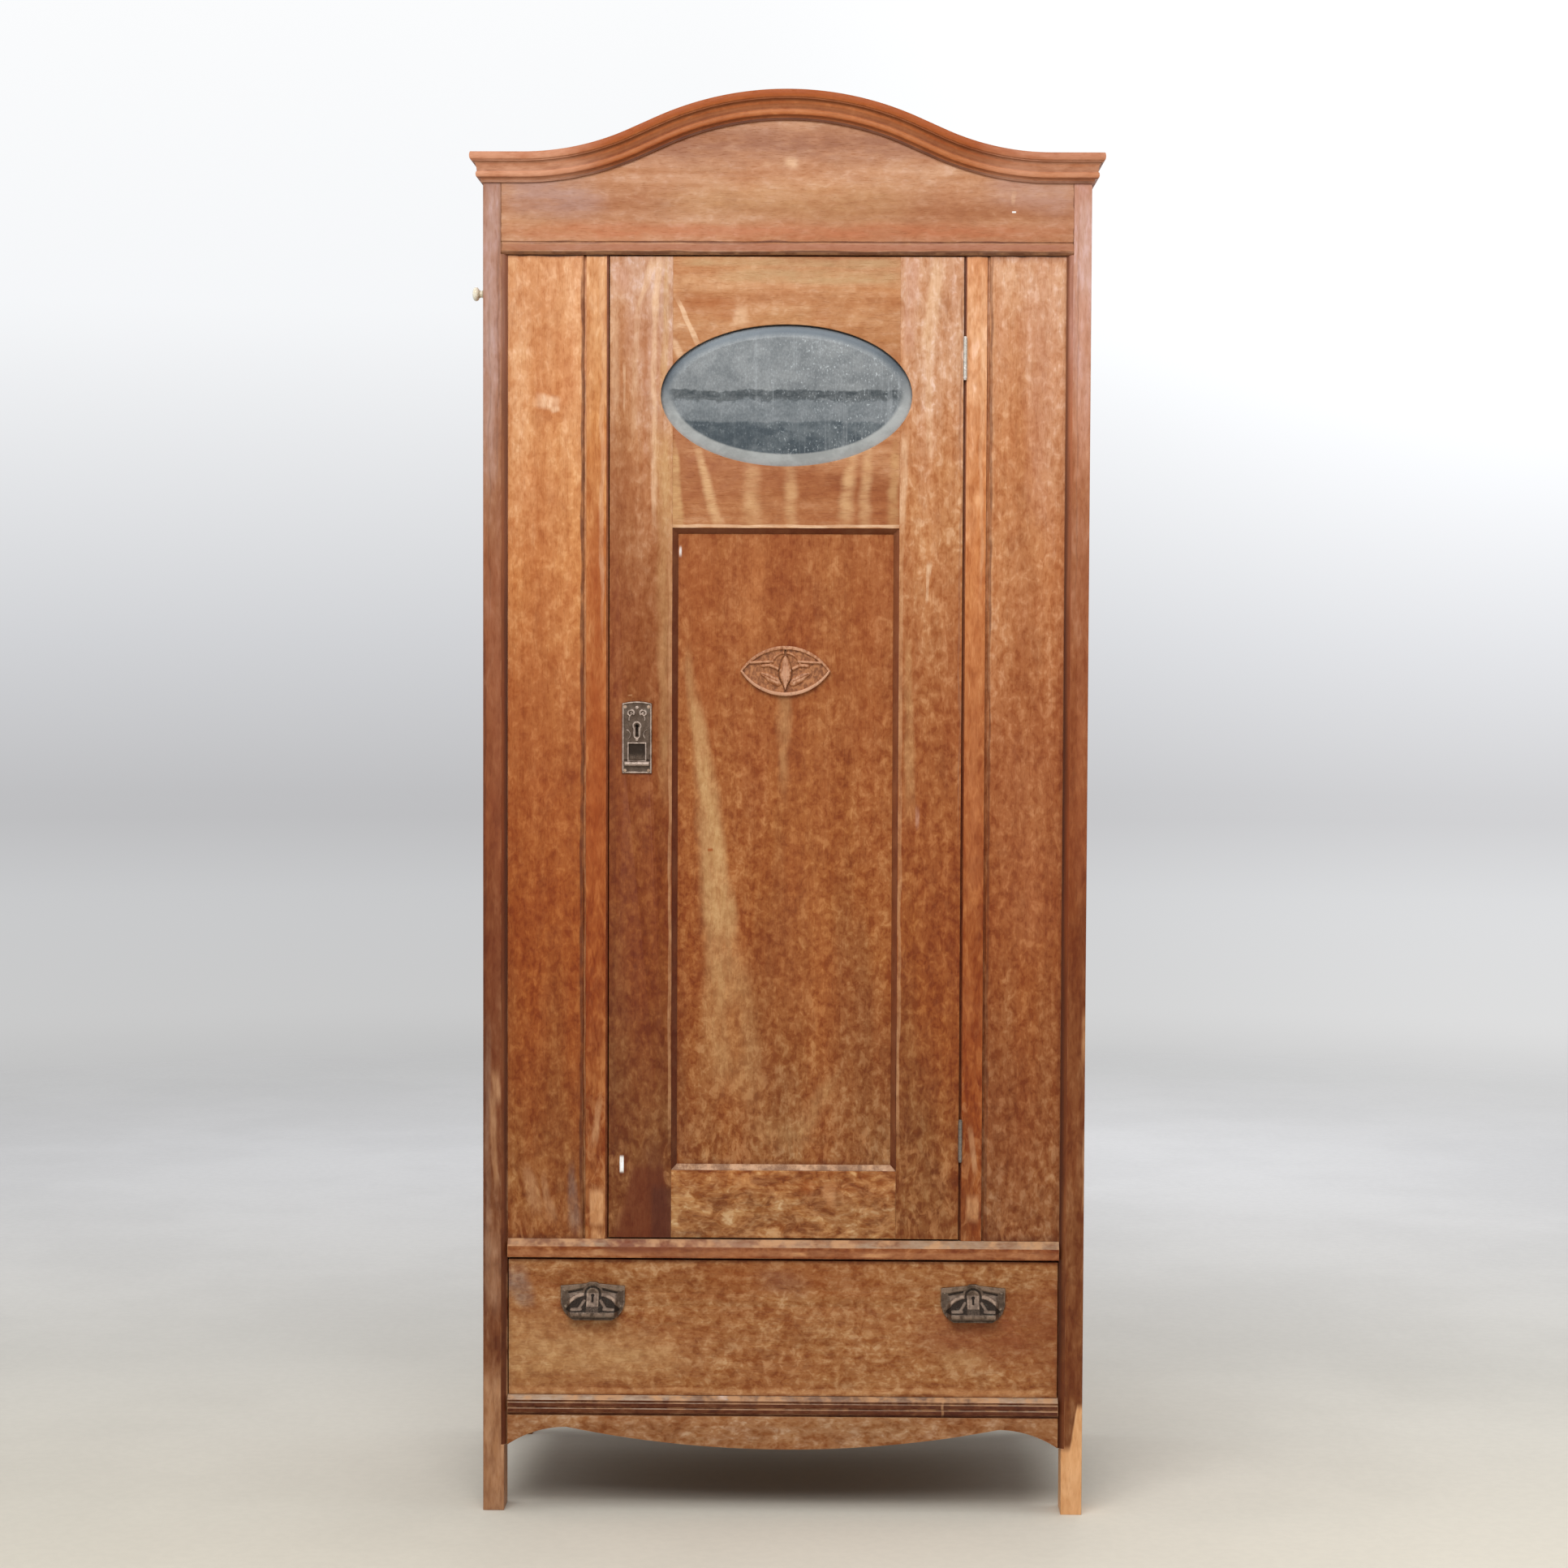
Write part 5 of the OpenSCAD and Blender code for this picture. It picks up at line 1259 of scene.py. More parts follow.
STILE_RIGHT_MARKS = (
    # Painted shade along the stile's edge beside the gap to the muntin
    ((0.2505, 1.812), (0.2505, 1.0), (0.0017, 0.0017), (0.3, 0.125, 0.062), 0.6, 0.8),
    ((0.219, 1.812), (0.2, 1.69), (0.013, 0.011), BONE, 0.55, 0.6),
    ((0.206, 1.69), (0.205, 1.535), (0.008, 0.005), BONE, 0.32, 0.6),
    ((0.179, 1.812), (0.175, 1.68), (0.011, 0.009), BLUSH, 0.55, 0.6),
    ((0.172, 1.56), (0.165, 1.432), (0.007, 0.006), BONE, 0.5, 0.6),
    ((0.166, 1.425), (0.1655, 0.56), (0.0036, 0.0026), WORN, 0.5, 0.4),
    ((0.177, 1.26), (0.179, 1.02), (0.006, 0.01), STRAW, 0.35, 0.7),
    ((0.206, 1.378), (0.2052, 1.362), (0.0048, 0.0044), BONE, 0.8, 0.5),
    ((0.204, 1.36), (0.203, 1.325), (0.0026, 0.002), BONE, 0.55, 0.5),
    ((0.19, 1.025), (0.1905, 1.0), (0.004, 0.003), BLUSH, 0.45, 0.5),
)
# A painted shadow under the frieze, along the top of the panels and muntins
SHADOW_UNDER_FRIEZE = ((-0.41, 1.8175), (0.41, 1.8175), (0.0022, 0.0022), SOOT, 0.9, 0.3)
TOP_RAIL_MARKS = (
    ((-0.15, 1.808), (0.16, 1.806), (0.0075, 0.008), FADED_STREAK, 0.66, 0.6),
    ((-0.09, 1.789), (0.16, 1.786), (0.011, 0.013), FADED_STREAK, 0.66, 0.7),
    ((-0.153, 1.746), (-0.07, 1.742), (0.021, 0.018), CHESTNUT, 0.55, 0.7),
    ((0.038, 1.735), (0.062, 1.73), (0.014, 0.014), CHESTNUT, 0.45, 0.7),
    ((-0.156, 1.752), (-0.127, 1.692), (0.0032, 0.004), BONE, 0.8, 0.4),
    ((-0.166, 1.7), (-0.149, 1.67), (0.008, 0.006), BONE, 0.55, 0.6),
    ((-0.064, 1.745), (-0.066, 1.718), (0.011, 0.012), BONE, 0.5, 0.6),
    ((-0.161, 1.545), (-0.156, 1.43), (0.006, 0.011), STRAW, 0.75, 0.6),
    ((-0.127, 1.542), (-0.098, 1.434), (0.0065, 0.01), SUN, 0.74, 0.8),
    ((-0.05, 1.52), (-0.048, 1.432), (0.014, 0.016), SUN, 0.56, 0.9),
    ((0.0063, 1.514), (0.0066, 1.432), (0.011, 0.01), SUN, 0.62, 0.9),
    ((0.095, 1.532), (0.084, 1.432), (0.01, 0.014), SUN, 0.72, 0.9),
    ((0.118, 1.532), (0.112, 1.432), (0.008, 0.011), SUN, 0.66, 0.9),
    ((0.158, 1.545), (0.152, 1.432), (0.007, 0.01), STRAW, 0.5, 0.8),
    ((-0.162, 1.4305), (0.162, 1.4305), (0.0024, 0.0024), BONE, 0.75, 0.4),
)
PANEL_MARKS = (
    ((-0.14, 1.24), (-0.127, 1.14), (0.008, 0.013), STRAW, 0.45, 0.9),
    ((-0.129, 1.17), (-0.112, 1.05), (0.012, 0.016), STRAW, 0.7, 0.8),
    ((-0.114, 1.07), (-0.1, 0.85), (0.018, 0.021), STRAW, 0.75, 0.8),
    ((-0.103, 1.02), (-0.076, 0.85), (0.008, 0.012), STRAW, 0.6, 0.9),
    ((-0.095, 0.89), (-0.078, 0.74), (0.02, 0.026), STRAW, 0.5, 0.9),
    ((-0.105, 0.84), (-0.085, 0.62), (0.016, 0.026), STRAW, 0.42, 0.9),
    ((-0.06, 0.8), (-0.048, 0.6), (0.013, 0.024), STRAW, 0.28, 1.0),
    ((-0.002, 1.2), (-0.0012, 1.05), (0.013, 0.008), STRAW, 0.42, 1.0),
    ((0.07, 0.63), (0.025, 0.548), (0.01, 0.02), STRAW, 0.38, 1.0),
    ((-0.04, 0.56), (0.025, 0.545), (0.022, 0.026), STRAW, 0.28, 1.0),
    ((-0.1078, 0.966), (-0.1072, 0.962), (0.0042, 0.0046), CHESTNUT, 0.95, 0.3),
    ((-0.152, 1.4), (-0.152, 1.389), (0.002, 0.0024), CHALK, 0.7, 0.3),
    ((-0.125, 1.4), (-0.11, 1.13), (0.03, 0.02), RUSSET, 0.45, 1.0),
    ((0.115, 1.4), (0.12, 1.1), (0.03, 0.024), RUSSET, 0.3, 1.0),
    ((-0.04, 1.4), (-0.05, 1.26), (0.022, 0.018), HONEY, 0.3, 1.0),
    ((0.02, 1.15), (0.03, 0.7), (0.05, 0.06), HONEY, 0.12, 1.0),
    ((-0.16, 0.7), (-0.15, 0.51), (0.01, 0.025), BLOOD, 0.3, 0.8),
    ((-0.16, 0.507), (0.16, 0.507), (0.006, 0.006), BLOOD, 0.35, 0.7),
)
# A painted shade line down the right bead of the door panel
BEAD_SHADE_MARKS = (
    ((0.156, 1.42), (0.156, 0.51), (0.008, 0.008), (0.21, 0.058, 0.016), 0.65, 0.4),
)
BOTTOM_RAIL_MARKS = (
    ((0.064, 0.475), (0.072, 0.45), (0.013, 0.007), BARE, 0.55, 0.6),
    ((-0.15, 0.408), (-0.115, 0.404), (0.008, 0.005), BLOOD, 0.65, 0.6),
    ((0.027, 0.478), (0.042, 0.47), (0.01, 0.012), CHESTNUT, 0.55, 0.7),
    ((-0.156, 0.49), (-0.157, 0.41), (0.006, 0.006), STRAW, 0.35, 0.7),
)
PANEL_LEFT_MARKS = (
    # A painted shade line in the groove beside the muntin
    ((-0.2925, 1.81), (-0.2925, 0.4), (0.003, 0.003), BLOOD, 0.85, 0.5),
    ((-0.288, 1.6), (-0.288, 0.42), (0.0016, 0.0014), WORN, 0.4, 0.6),
    ((-0.356, 1.61), (-0.33, 1.604), (0.012, 0.0115), FADED_SPOT, 0.8, 0.55),
    ((-0.334, 1.599), (-0.332, 1.593), (0.008, 0.007), FADED_SPOT, 0.6, 0.6),
    ((-0.35, 1.46), (-0.35, 1.06), (0.056, 0.056), (0.3, 0.085, 0.022), 0.22, 1.0),
    ((-0.372, 0.5), (-0.356, 0.44), (0.008, 0.012), WORN, 0.45, 0.7),
    ((-0.348, 0.49), (-0.336, 0.43), (0.005, 0.008), WORN, 0.5, 0.7),
    ((-0.308, 0.5), (-0.302, 0.41), (0.008, 0.01), ASH, 0.45, 0.7),
)
PANEL_RIGHT_MARKS = (
    ((0.2955, 1.81), (0.295, 1.2), (0.004, 0.003), BONE, 0.12, 0.7),
    ((0.35, 1.12), (0.35, 0.82), (0.056, 0.056), (0.56, 0.24, 0.11), 0.13, 1.0),
    ((0.35, 0.66), (0.35, 0.5), (0.056, 0.056), (0.17, 0.046, 0.014), 0.16, 1.0),
    ((0.365, 1.8), (0.36, 1.45), (0.03, 0.018), BLUSH, 0.22, 0.9),
    # A painted shade line in the groove beside the muntin
    ((0.2935, 1.81), (0.2935, 0.4), (0.0022, 0.0022), BLOOD, 0.6, 0.5),
)
FRIEZE_MARKS = (
    # The lines at 1.835 and 1.8197 are painted shade: in the bead's quirk and under the frieze's foot
    ((-0.408, 1.835), (0.408, 1.835), (0.0019, 0.0019), (0.13, 0.05, 0.04), 0.7, 0.6),
    ((-0.408, 1.828), (0.408, 1.828), (0.0048, 0.0048), (0.325, 0.118, 0.066), 0.72, 0.3),
    ((-0.408, 1.8197), (0.408, 1.8197), (0.0034, 0.0034), (0.08, 0.025, 0.012), 0.78, 0.3),
    ((-0.39, 1.85), (0.39, 1.85), (0.014, 0.014), (0.45, 0.13, 0.05), 0.55, 0.9),
    ((-0.4, 1.915), (-0.27, 1.89), (0.042, 0.03), (0.375, 0.215, 0.172), 0.78, 0.9),
    ((0.295, 1.92), (0.41, 1.9), (0.032, 0.042), (0.44, 0.245, 0.185), 0.7, 0.9),
    ((-0.22, 1.975), (0.22, 1.975), (0.034, 0.034), (0.262, 0.098, 0.045), 0.95, 1.0),
    ((-0.15, 1.895), (0.16, 1.89), (0.03, 0.034), STRAW, 0.28, 1.0),
    ((-0.003, 1.948), (0.014, 1.9455), (0.008, 0.0095), BONE, 0.55, 0.8),
    ((-0.035, 1.948), (-0.025, 1.947), (0.005, 0.005), BONE, 0.26, 0.7),
    ((0.3236, 1.8796), (0.3236, 1.8776), (0.003, 0.003), CHALK, 1.0, 0.25),
    ((0.3236, 1.908), (0.3236, 1.89), (0.004, 0.003), BONE, 0.3, 0.6),
    ((-0.4095, 1.938), (-0.4095, 1.82), (0.0014, 0.0014), SOOT, 0.5, 0.6),
    ((0.4095, 1.938), (0.4095, 1.82), (0.0014, 0.0014), SOOT, 0.5, 0.6),
)
LEG_LEFT_MARKS = (
    ((-0.42, 0.2), (-0.42, -0.05), (0.03, 0.03), (0.45, 0.23, 0.112), 0.8, 0.6),
)
LEG_RIGHT_MARKS = (
    ((0.433, 0.158), (0.428, 0.06), (0.006, 0.016), PALE_LEG, 0.94, 0.25),
    ((0.422, 0.096), (0.422, -0.04), (0.03, 0.03), PALE_LEG, 0.94, 0.2),
)
POST_LEFT_MARKS = (
    ((-0.425, 1.9), (-0.424, 1.5), (0.01, 0.007), (0.5, 0.33, 0.28), 0.36, 0.9),
    ((-0.422, 1.4), (-0.422, 0.95), (0.02, 0.02), (0.3, 0.085, 0.03), 0.35, 1.0),
    ((-0.422, 0.9), (-0.422, 0.51), (0.02, 0.02), (0.16, 0.034, 0.008), 0.38, 1.0),
    ((-0.42, 0.41), (-0.419, 0.3), (0.013, 0.011), (0.46, 0.25, 0.14), 0.5, 0.9),
    ((-0.413, 1.9), (-0.414, 1.5), (0.0018, 0.0014), SOOT, 0.3, 0.8),
    ((-0.426, 1.78), (-0.425, 1.3), (0.0016, 0.0012), SOOT, 0.22, 0.8),
    ((-0.418, 0.64), (-0.412, 0.6), (0.008, 0.006), WORN, 0.55, 0.6),
    ((-0.422, 0.61), (-0.416, 0.48), (0.006, 0.005), WORN, 0.45, 0.6),
    ((-0.429, 0.7), (-0.429, 0.3), (0.005, 0.005), DUST, 0.2, 0.7),
    ((-0.433, 1.3), (-0.433, 0.25), (0.0022, 0.0022), BLOOD, 0.6, 0.5),
)
POST_RIGHT_MARKS = (
    ((0.425, 1.9), (0.425, 1.76), (0.01, 0.009), (0.62, 0.43, 0.37), 0.33, 0.7),
    ((0.424, 1.77), (0.424, 1.52), (0.014, 0.014), (0.62, 0.33, 0.22), 0.42, 0.9),
    ((0.424, 1.16), (0.424, 0.9), (0.016, 0.016), (0.48, 0.16, 0.06), 0.2, 1.0),
    ((0.416, 1.85), (0.417, 1.35), (0.0014, 0.0012), SOOT, 0.25, 0.8),
    ((0.434, 0.73), (0.434, 0.66), (0.005, 0.006), BARE, 0.55, 0.6),
    ((0.4345, 0.56), (0.4345, 0.45), (0.003, 0.004), WORN, 0.45, 0.6),
    ((0.43, 0.9), (0.43, 0.5), (0.006, 0.006), BLOOD, 0.25, 0.7),
)
MUNTIN_LEFT_MARKS = (
    ((-0.271, 0.468), (-0.271, 0.418), (0.011, 0.011), BARE, 0.62, 0.3),
    ((-0.27, 0.41), (-0.27, 0.385), (0.01, 0.01), BARE, 0.5, 0.4),
    ((-0.272, 1.44), (-0.272, 0.9), (0.017, 0.017), (0.33, 0.068, 0.01), 0.7, 1.0),
    ((-0.266, 0.6), (-0.274, 0.54), (0.004, 0.006), WORN, 0.55, 0.6),
    ((-0.264, 1.8), (-0.264, 1.3), (0.005, 0.003), BONE, 0.3, 0.7),
)
MUNTIN_RIGHT_MARKS = (
    ((0.274, 0.462), (0.274, 0.428), (0.01, 0.01), BARE, 0.62, 0.4),
    ((0.272, 1.42), (0.272, 0.9), (0.017, 0.017), (0.6, 0.23, 0.085), 0.35, 1.0),
    ((0.27, 0.56), (0.278, 0.5), (0.004, 0.005), WORN, 0.5, 0.6),
    ((0.28, 1.8), (0.28, 1.35), (0.005, 0.003), BONE, 0.25, 0.7),
)
DRAWER_MARKS = (
    ((-0.395, 0.35), (-0.37, 0.3), (0.025, 0.014), ASH, 0.55, 0.7),
    ((-0.44, 0.235), (-0.18, 0.225), (0.085, 0.025), STRAW, 0.5, 1.0),
    ((-0.24, 0.22), (-0.14, 0.23), (0.045, 0.04), STRAW, 0.22, 1.0),
    ((0.46, 0.27), (0.2, 0.255), (0.105, 0.025), (0.23, 0.06, 0.017), 0.76, 1.0),
    ((-0.1, 0.34), (0.15, 0.34), (0.03, 0.03), RUSSET, 0.4, 1.0),
    ((-0.396, 0.176), (0.396, 0.176), (0.005, 0.005), BARE, 0.35, 0.7),
    ((0.23, 0.225), (0.29, 0.228), (0.016, 0.013), STRAW, 0.35, 0.8),
    ((-0.03, 0.345), (0.03, 0.33), (0.02, 0.02), ASH, 0.2, 0.9),
)
LOWER_RAIL_MARKS = (
    ((-0.092, 0.1665), (-0.081, 0.1665), (0.0034, 0.0036), CHALK, 0.72, 0.5),
    ((0.233, 0.165), (0.2325, 0.142), (0.002, 0.002), WORN, 0.5, 0.4),
)
DIVIDER_STAINS = (
    ((-0.255, 0.389), (-0.164, 0.389), (0.01, 0.01), (0.19, 0.058, 0.024), 0.84, 0.3),
    ((-0.16, 0.39), (0.02, 0.39), (0.009, 0.007), (0.3, 0.12, 0.055), 0.5, 0.7),
)
DIVIDER_MARKS = (
    ((-0.41, 0.3785), (0.41, 0.3785), (0.0055, 0.0055), (0.5, 0.225, 0.1), 0.42, 0.6),
    ((0.015, 0.378), (0.032, 0.378), (0.003, 0.003), BARE, 0.7, 0.4),
    ((0.118, 0.378), (0.155, 0.378), (0.0032, 0.003), BARE, 0.55, 0.5),
    ((-0.275, 0.38), (-0.26, 0.38), (0.005, 0.005), WORN, 0.6, 0.5),
    ((-0.245, 0.388), (-0.164, 0.388), (0.013, 0.013), (0.2, 0.05, 0.018), 0.75, 0.7),
    ((-0.15, 0.39), (-0.06, 0.39), (0.008, 0.006), (0.26, 0.08, 0.035), 0.4, 0.8),
)

CORNICE_MARKS = (
    ((-0.52, 1.945), (-0.29, 1.945), (0.045, 0.045), (0.67, 0.35, 0.215), 0.68, 1.0),
    ((0.29, 1.945), (0.52, 1.945), (0.045, 0.045), (0.62, 0.32, 0.2), 0.52, 1.0),
)
# Painted light and shade along the cornice's section, darker in its quirks and cove, with a painted shadow
# line at its foot; each (middle along its section, half width, colour, strength)
CORNICE_SHADE_BANDS = (
    (0.019, 0.011, (0.315, 0.068, 0.009), 0.88),
    (0.033, 0.0045, (0.18, 0.055, 0.019), 0.7),
    (0.0425, 0.0035, (0.22, 0.074, 0.024), 0.6),
    (0.0464, 0.0026, SOOT, 0.36),
    (0.0515, 0.0045, (0.42, 0.145, 0.042), 0.45),
    (0.06, 0.0035, (0.22, 0.07, 0.028), 0.55),
    (0.066, 0.003, SOOT, 0.75),
)


def oaken(node, finish, number, slot, width=EASE_WIDTH, **looks):
    """A CAD node as eased boards of their own oak."""
    eased(node, oak("oak_" + finish, number, **looks), width)


def pine(node, finish, number, grain="z", shade=(1, 1, 1), **more):
    """A CAD node as eased boards of their own pine."""
    eased(node, softwood("pine_" + finish, number, grain, shade, **more))


def build_camera_side():
    """What the photograph shows of the case: posts, head, rails, panels and drawer."""
    # The bevel colour of the posts' inner bevels is stain and painted shade by the panels
    post = dict(fade=-0.1, run=55.0, bevel=(0.07, 0.016, 0.005), figure=0.1, wear=0.6)
    oaken("post_front_left", "post_left", 1, "oak_frame", low=(0.6, 0.54, 0.64), high=(0.53, 0.57, 0.86),
          around=LEG_LEFT_MARKS, marks=POST_LEFT_MARKS, **post)
    oaken("post_front_right", "post_right", 2, "oak_frame", low=(0.7, 0.64, 0.66), high=(0.73, 0.77, 1.18),
          around=LEG_RIGHT_MARKS, marks=POST_RIGHT_MARKS, **post)
    oaken("frieze_board", "frieze", 3, "oak_cornice", grain="x", climb=0.0, fade=1.32,
          high=(0.92, 1.24, 2.15), run=100.0, marks=FRIEZE_MARKS, figure=0.1, mottle=0.8, wear=0.35)
    oaken("divider_rail", "divider", 4, "oak_frame", grain="x", low=(0.88, 0.69, 0.6), figure=0.2, wear=0.8,
          ledge=SHELF_DUST, around=DIVIDER_STAINS, marks=DIVIDER_MARKS)
    oaken("lower_rail", "lower_rail", 5, "oak_frame", grain="x", low=(0.41, 0.32, 0.35), figure=0.08,
          wear=0.8, ledge=DUST, marks=LOWER_RAIL_MARKS)
    oaken("apron", "apron", 6, "oak_frame", grain="x", run=130.0, low=(1.27, 1.66, 2.52), figure=0.16,
          wear=0.6)
    oaken("muntin_left", "muntin_left", 7, "oak_panel", low=(0.98, 0.88, 0.78), high=(0.94, 0.96, 0.9),
          marks=MUNTIN_LEFT_MARKS + (SHADOW_UNDER_FRIEZE,), run=70.0, mottle=1.25, figure_top=0.62)
    oaken("muntin_right", "muntin_right", 8, "oak_panel", fade=0.12, low=(0.91, 0.83, 0.76),
          high=(0.99, 0.97, 0.98), marks=MUNTIN_RIGHT_MARKS + (SHADOW_UNDER_FRIEZE,), run=70.0, mottle=1.25,
          figure=0.16, figure_top=0.6)
    oaken("front_panel_left", "panel_left", 9, "oak_panel", fade=-0.04, low=(0.98, 0.93, 0.85),
          high=(0.94, 0.94, 0.92), marks=PANEL_LEFT_MARKS + (SHADOW_UNDER_FRIEZE,), figure=0.08,
          rim=("front_panel_left", 0.007, 0.6), figure_top=0.44, wear=0.3)
    oaken("front_panel_right", "panel_right", 10, "oak_panel", fade=-0.04, low=(0.96, 1.04, 1.32),
          high=(0.84, 0.86, 0.98), marks=PANEL_RIGHT_MARKS + (SHADOW_UNDER_FRIEZE,), figure=0.1,
          rim=("front_panel_right", 0.014, 0.6), figure_top=0.42, mottle=1.3, wear=0.3)
    oaken("drawer_front", "drawer_front", 11, "oak_drawer", grain="x", low=(1.24, 1.46, 1.75), figure=0.16,
          mottle=1.15, run=165.0, blotch=0.45, marks=DRAWER_MARKS, rim=("drawer_front", 0.005, 0.6))
    build_cornice()


def build_cornice():
    """The moulding over the frieze and its two returns."""
    looks = dict(grain="curve", climb=0.0, figure=0.1, mottle=0.8, wear=0.0, grime=0.5, shade_bands=CORNICE_SHADE_BANDS)
    head = oak("oak_cornice_front", 12, fade=1.2, high=(0.84, 0.71, 0.7), marks=CORNICE_MARKS, **looks)
    add_piece("cornice_front_moulded", cornice_front(), head, "cabinet", ("cornice_front",))
    for side, name in SIDES:
        board = oak("oak_cornice_" + name, 13 + side, fade=1.18, high=(0.95, 0.95, 1.25), **looks)
        add_piece("cornice_%s_moulded" % name, cornice_return(side), board, "cabinet",
                  ("cornice_" + name,))


def muntin_lip(side, low, high):
    """A thin lip on the muntin's edge that narrows the gap beside the door."""
    inner = LIP_LEFT_X if side < 0 else LIP_RIGHT_X
    outline = [(inner, LIP_FACE_Y + LIP_EASE), (inner + LIP_EASE, LIP_FACE_Y), (MUNTIN_X, LIP_FACE_Y),
               (MUNTIN_X, LIP_BACK_Y)]
    if side < 0:
        outline.append((inner, LIP_BACK_Y))
    else:
        outline += [(LIP_STEP_X, LIP_BACK_Y), (LIP_STEP_X, LIP_STEP_Y), (inner, LIP_STEP_Y)]
    count = len(outline)
    shape = bmesh.new()
    corners = [shape.verts.new((side * x, y, z)) for z in (low, high) for x, y in outline]
    for i in range(count):
        j = (i + 1) % count
        shape.faces.new((corners[i], corners[j], corners[j + count], corners[i + count]))
    shape.faces.new(corners[:count])
    shape.faces.new(corners[count:])
    bmesh.ops.recalc_face_normals(shape, faces=shape.faces)
    mesh = bpy.data.meshes.new("muntin_lip_shape")
    shape.to_mesh(mesh)
    shape.free()
    return mesh


def build_lips():
    """The lips run between the divider and the frieze, and stop at the hinges."""
    finish = oak("oak_lips", 35, low=(0.5, 0.38, 0.34), high=(0.34, 0.26, 0.3), mottle=0.8, figure=0.0,
                 wear=0.0)
    add_piece("muntin_lip_left", muntin_lip(-1, LIP_LOW_Z, LIP_HIGH_Z), finish, "cabinet", ())
    stops = [LIP_LOW_Z]
    for low, high in HINGE_SPANS:
        stops += [low - HINGE_CLEAR, high + HINGE_CLEAR]
    stops.append(LIP_HIGH_Z)
    for number, (low, high) in enumerate(zip(stops[::2], stops[1::2])):
        add_piece("muntin_lip_right_%d" % (number + 1), muntin_lip(1, low, high), finish, "cabinet", ())


def build_door():
    """The door with its panel, carving and mirror."""
    oaken("door_stile_left", "stile_left", 20, "oak_door", fade=-0.16, low=(0.68, 0.63, 0.57),
          high=(0.82, 0.97, 1.36), marks=STILE_LEFT_MARKS, figure=0.1, figure_top=0.52, mottle=1.15)
    oaken("door_stile_right", "stile_right", 21, "oak_door", fade=-0.01, low=(0.86, 0.86, 0.84),
          high=(0.89, 1.02, 1.32), marks=STILE_RIGHT_MARKS, figure=0.1, figure_top=0.55, mottle=1.4)
    oaken("door_top_rail", "top_rail", 22, "oak_door", grain="x", climb=0.5, fade=0.47,
          high=(0.9, 1.1, 1.55), marks=TOP_RAIL_MARKS, figure=0.1, mottle=0.8, wear=0.4)
    oaken("door_bottom_rail", "bottom_rail", 23, "oak_door", grain="x", low=(1.22, 1.5, 1.85), figure=0.3,
          figure_top=0.6, run=130.0, blotch=1.4, mottle=1.25, marks=BOTTOM_RAIL_MARKS)
    oaken("door_panel", "door_panel", 24, "oak_door", fade=0.26, climb=0.62, run=165.0, mottle=1.3,
          low=(0.98, 1.12, 1.32), high=(0.92, 0.98, 1.1), marks=PANEL_MARKS, figure=0.1, figure_top=0.56,
          wear=0.2, rim=("door_panel", 0.014, 0.6))
    # The beads are darkened all round as painted shade in the panel's recess; the bottom one's upward face
    # has a painted highlight
    oaken("panel_beads", "beads", 25, "oak_door", FINE_EASE, low=(0.31, 0.21, 0.18), high=(0.25, 0.17, 0.15),
          mottle=0.5, ledge=LEDGE_HIGHLIGHT, ledge_below=BOTTOM_RAIL_Z + 0.012, figure=0.0, wear=0.04,
          marks=BEAD_SHADE_MARKS)
    add_piece("panel_carving_cut", carving_shape(), carved_oak("oak_carving", 26), "door",
              ("panel_carving",))
    add_piece("mirror_ground", mirror_shape(), old_mirror(), "door", ("mirror_glass",))
    keep("mirror_backing", softwood("backing_board", 27, shade=(0.75, 0.75, 0.78)))
    eased("mirror_buttons", softwood("button_wood", 28, "x", (0.9, 0.85, 0.8)), BUTTON_EASE)


def build_fittings():
    """The door's lock and hinges."""
    add_piece("lock_plate_chased", lock_plate_shape(),
              bronze("bronze_plate", 29, (0.42, 0.325, 0.27), (0.034, 0.021, 0.014)), "door",
              ("lock_plate",))
    keep("lock_plate_pins", plated_steel("pin_brass", 30, (0.62, 0.46, 0.34), (0.34, 0.23, 0.16)))
    iron = plated_steel("lock_iron", 31, (0.135, 0.115, 0.1), (0.085, 0.048, 0.03), 0.5)
    eased("lock_case", iron, FINE_EASE)
    eased("lock_cover", iron, FINE_EASE)
    brass = plated_steel("bolt_brass", 32, (0.6, 0.43, 0.2), (0.26, 0.17, 0.08))
    eased("lock_bolt", brass, BOLT_EASE)
    steel = plated_steel("hinge_steel", 33, (0.86, 0.81, 0.82), (0.5, 0.47, 0.42), 0.38, 0.9)
    for node in ("hinge_leaves_frame", "hinge_leaves_door", "hinge_pins", "frame_screws", "door_screws",
                 "strike_plate"):
        keep(node, steel)


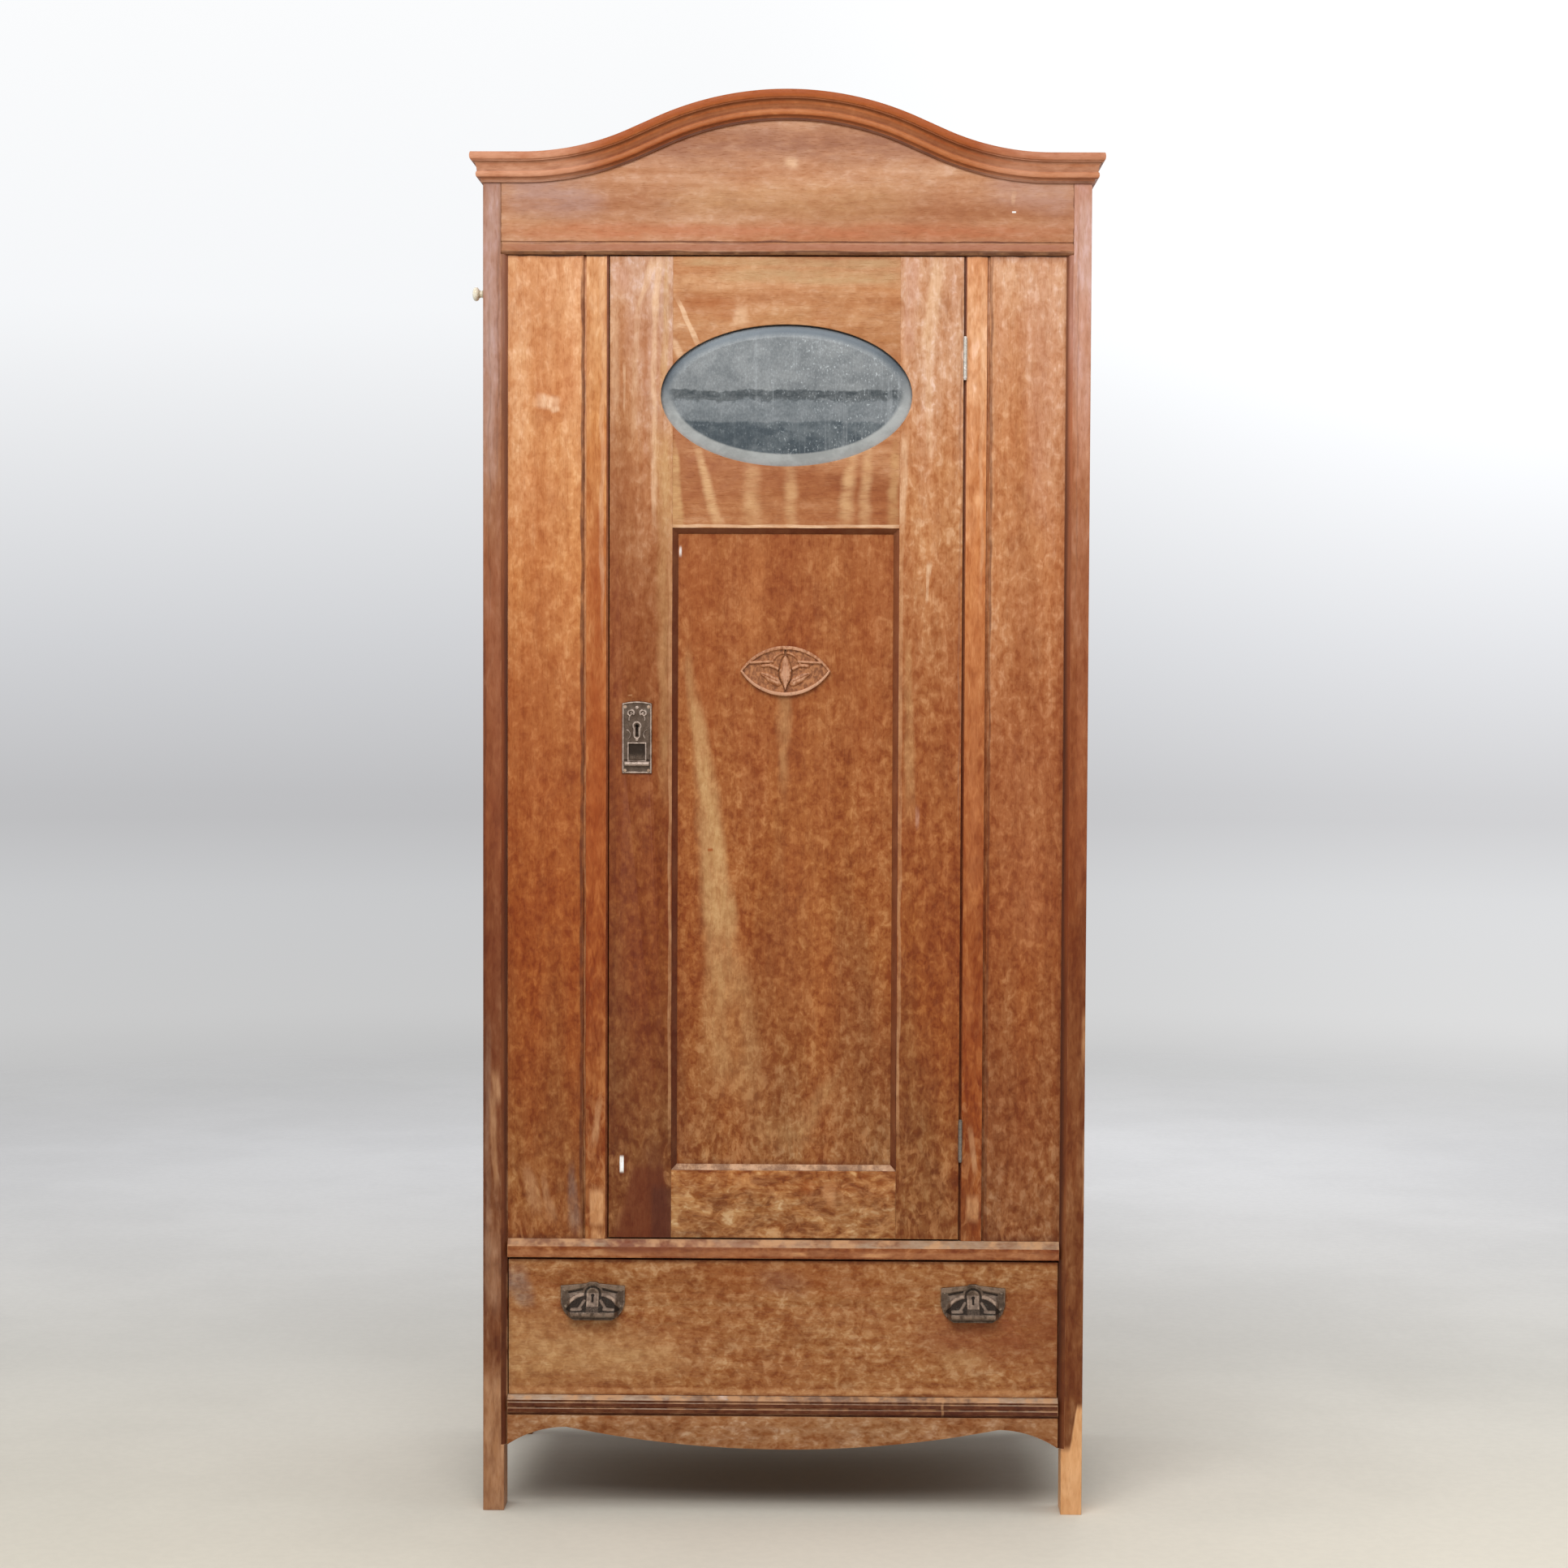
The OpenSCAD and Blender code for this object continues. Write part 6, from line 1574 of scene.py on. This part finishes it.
def build_drawer():
    """The drawer box and its two pulls."""
    pine("drawer_sides", "drawer_sides", 40, "y")
    pine("drawer_back", "drawer_back", 41, "x")
    pine("drawer_bottom", "drawer_bottom", 42, "y", (1.05, 1.05, 1.0))
    metal = bronze("bronze_pulls", 43)
    for side, name in SIDES:
        front = add_piece("pull_front_" + name, pull_shape(side), metal, "drawer", ())
        thick = front.modifiers.new("thickness", "SOLIDIFY")
        thick.thickness = PULL_SHELL
        thick.offset = -1.0
        add_piece("pull_plate_" + name, pull_plate_shape(side), metal, "drawer", ("drawer_pulls",))
    keep("pull_pins", plated_steel("pin_bronze", 44, (0.36, 0.29, 0.23), (0.16, 0.11, 0.08)))


def build_case():
    """Sides, back, roof and the inside."""
    calm = dict(mottle=0.8, blotch=0.25)
    for side, name in SIDES:
        oaken("post_rear_" + name, "rear_post_" + name, 50 + side, "oak_frame", fade=-0.1, run=55.0,
              low=(0.9, 0.95, 1.05), high=(0.86, 0.9, 1.05), **calm)
        oaken("side_rails_" + name, "side_rails_" + name, 53 + side, "oak_frame", grain="y", fade=-0.15,
              run=60.0, low=(0.95, 1.0, 1.05), high=(0.9, 0.91, 0.98), figure=0.14, **calm)
        oaken("side_panels_" + name, "side_panels_" + name, 56 + side, "oak_panel", fade=-0.22, run=52.0,
              high=(0.94, 0.93, 0.94), figure=0.08, **calm)
    pine("back_rails", "back_rails", 60, "x", (0.9, 0.88, 0.86))
    pine("back_boards", "back_boards", 61, boards=(BOARDS_FROM, BOARD_PITCH), nails=NAIL_ROWS)
    pine("floor_board", "floor", 62, "x", (0.95, 0.92, 0.9))
    pine("roof_board", "roof", 63, "x", (0.72, 0.7, 0.7))
    pine("hat_shelf", "shelf", 64, "x", (1.0, 0.98, 0.95))
    pine("shelf_battens", "battens", 65, "y")
    pine("door_stop", "door_stop", 66, "x")
    for number, node in enumerate(("drawer_runners", "drawer_guides", "drawer_kickers", "drawer_stops")):
        pine(node, node, 67 + number, "y", (0.95, 0.93, 0.9))
    keep("hanging_rod", softwood("beech_rod", 72, "x", (1.25, 1.15, 1.0)))
    keep("rod_sockets", softwood("beech_sockets", 73, "x", (1.05, 0.98, 0.9)))
    add_piece("side_knob_turned", knob_shape(), porcelain(), "cabinet", ("side_knob",))


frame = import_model()
camera()
build_camera_side()
build_lips()
build_door()
build_fittings()
build_drawer()
build_case()
world()
floor()
lights()
bpy.context.scene.view_settings.view_transform = "Standard"
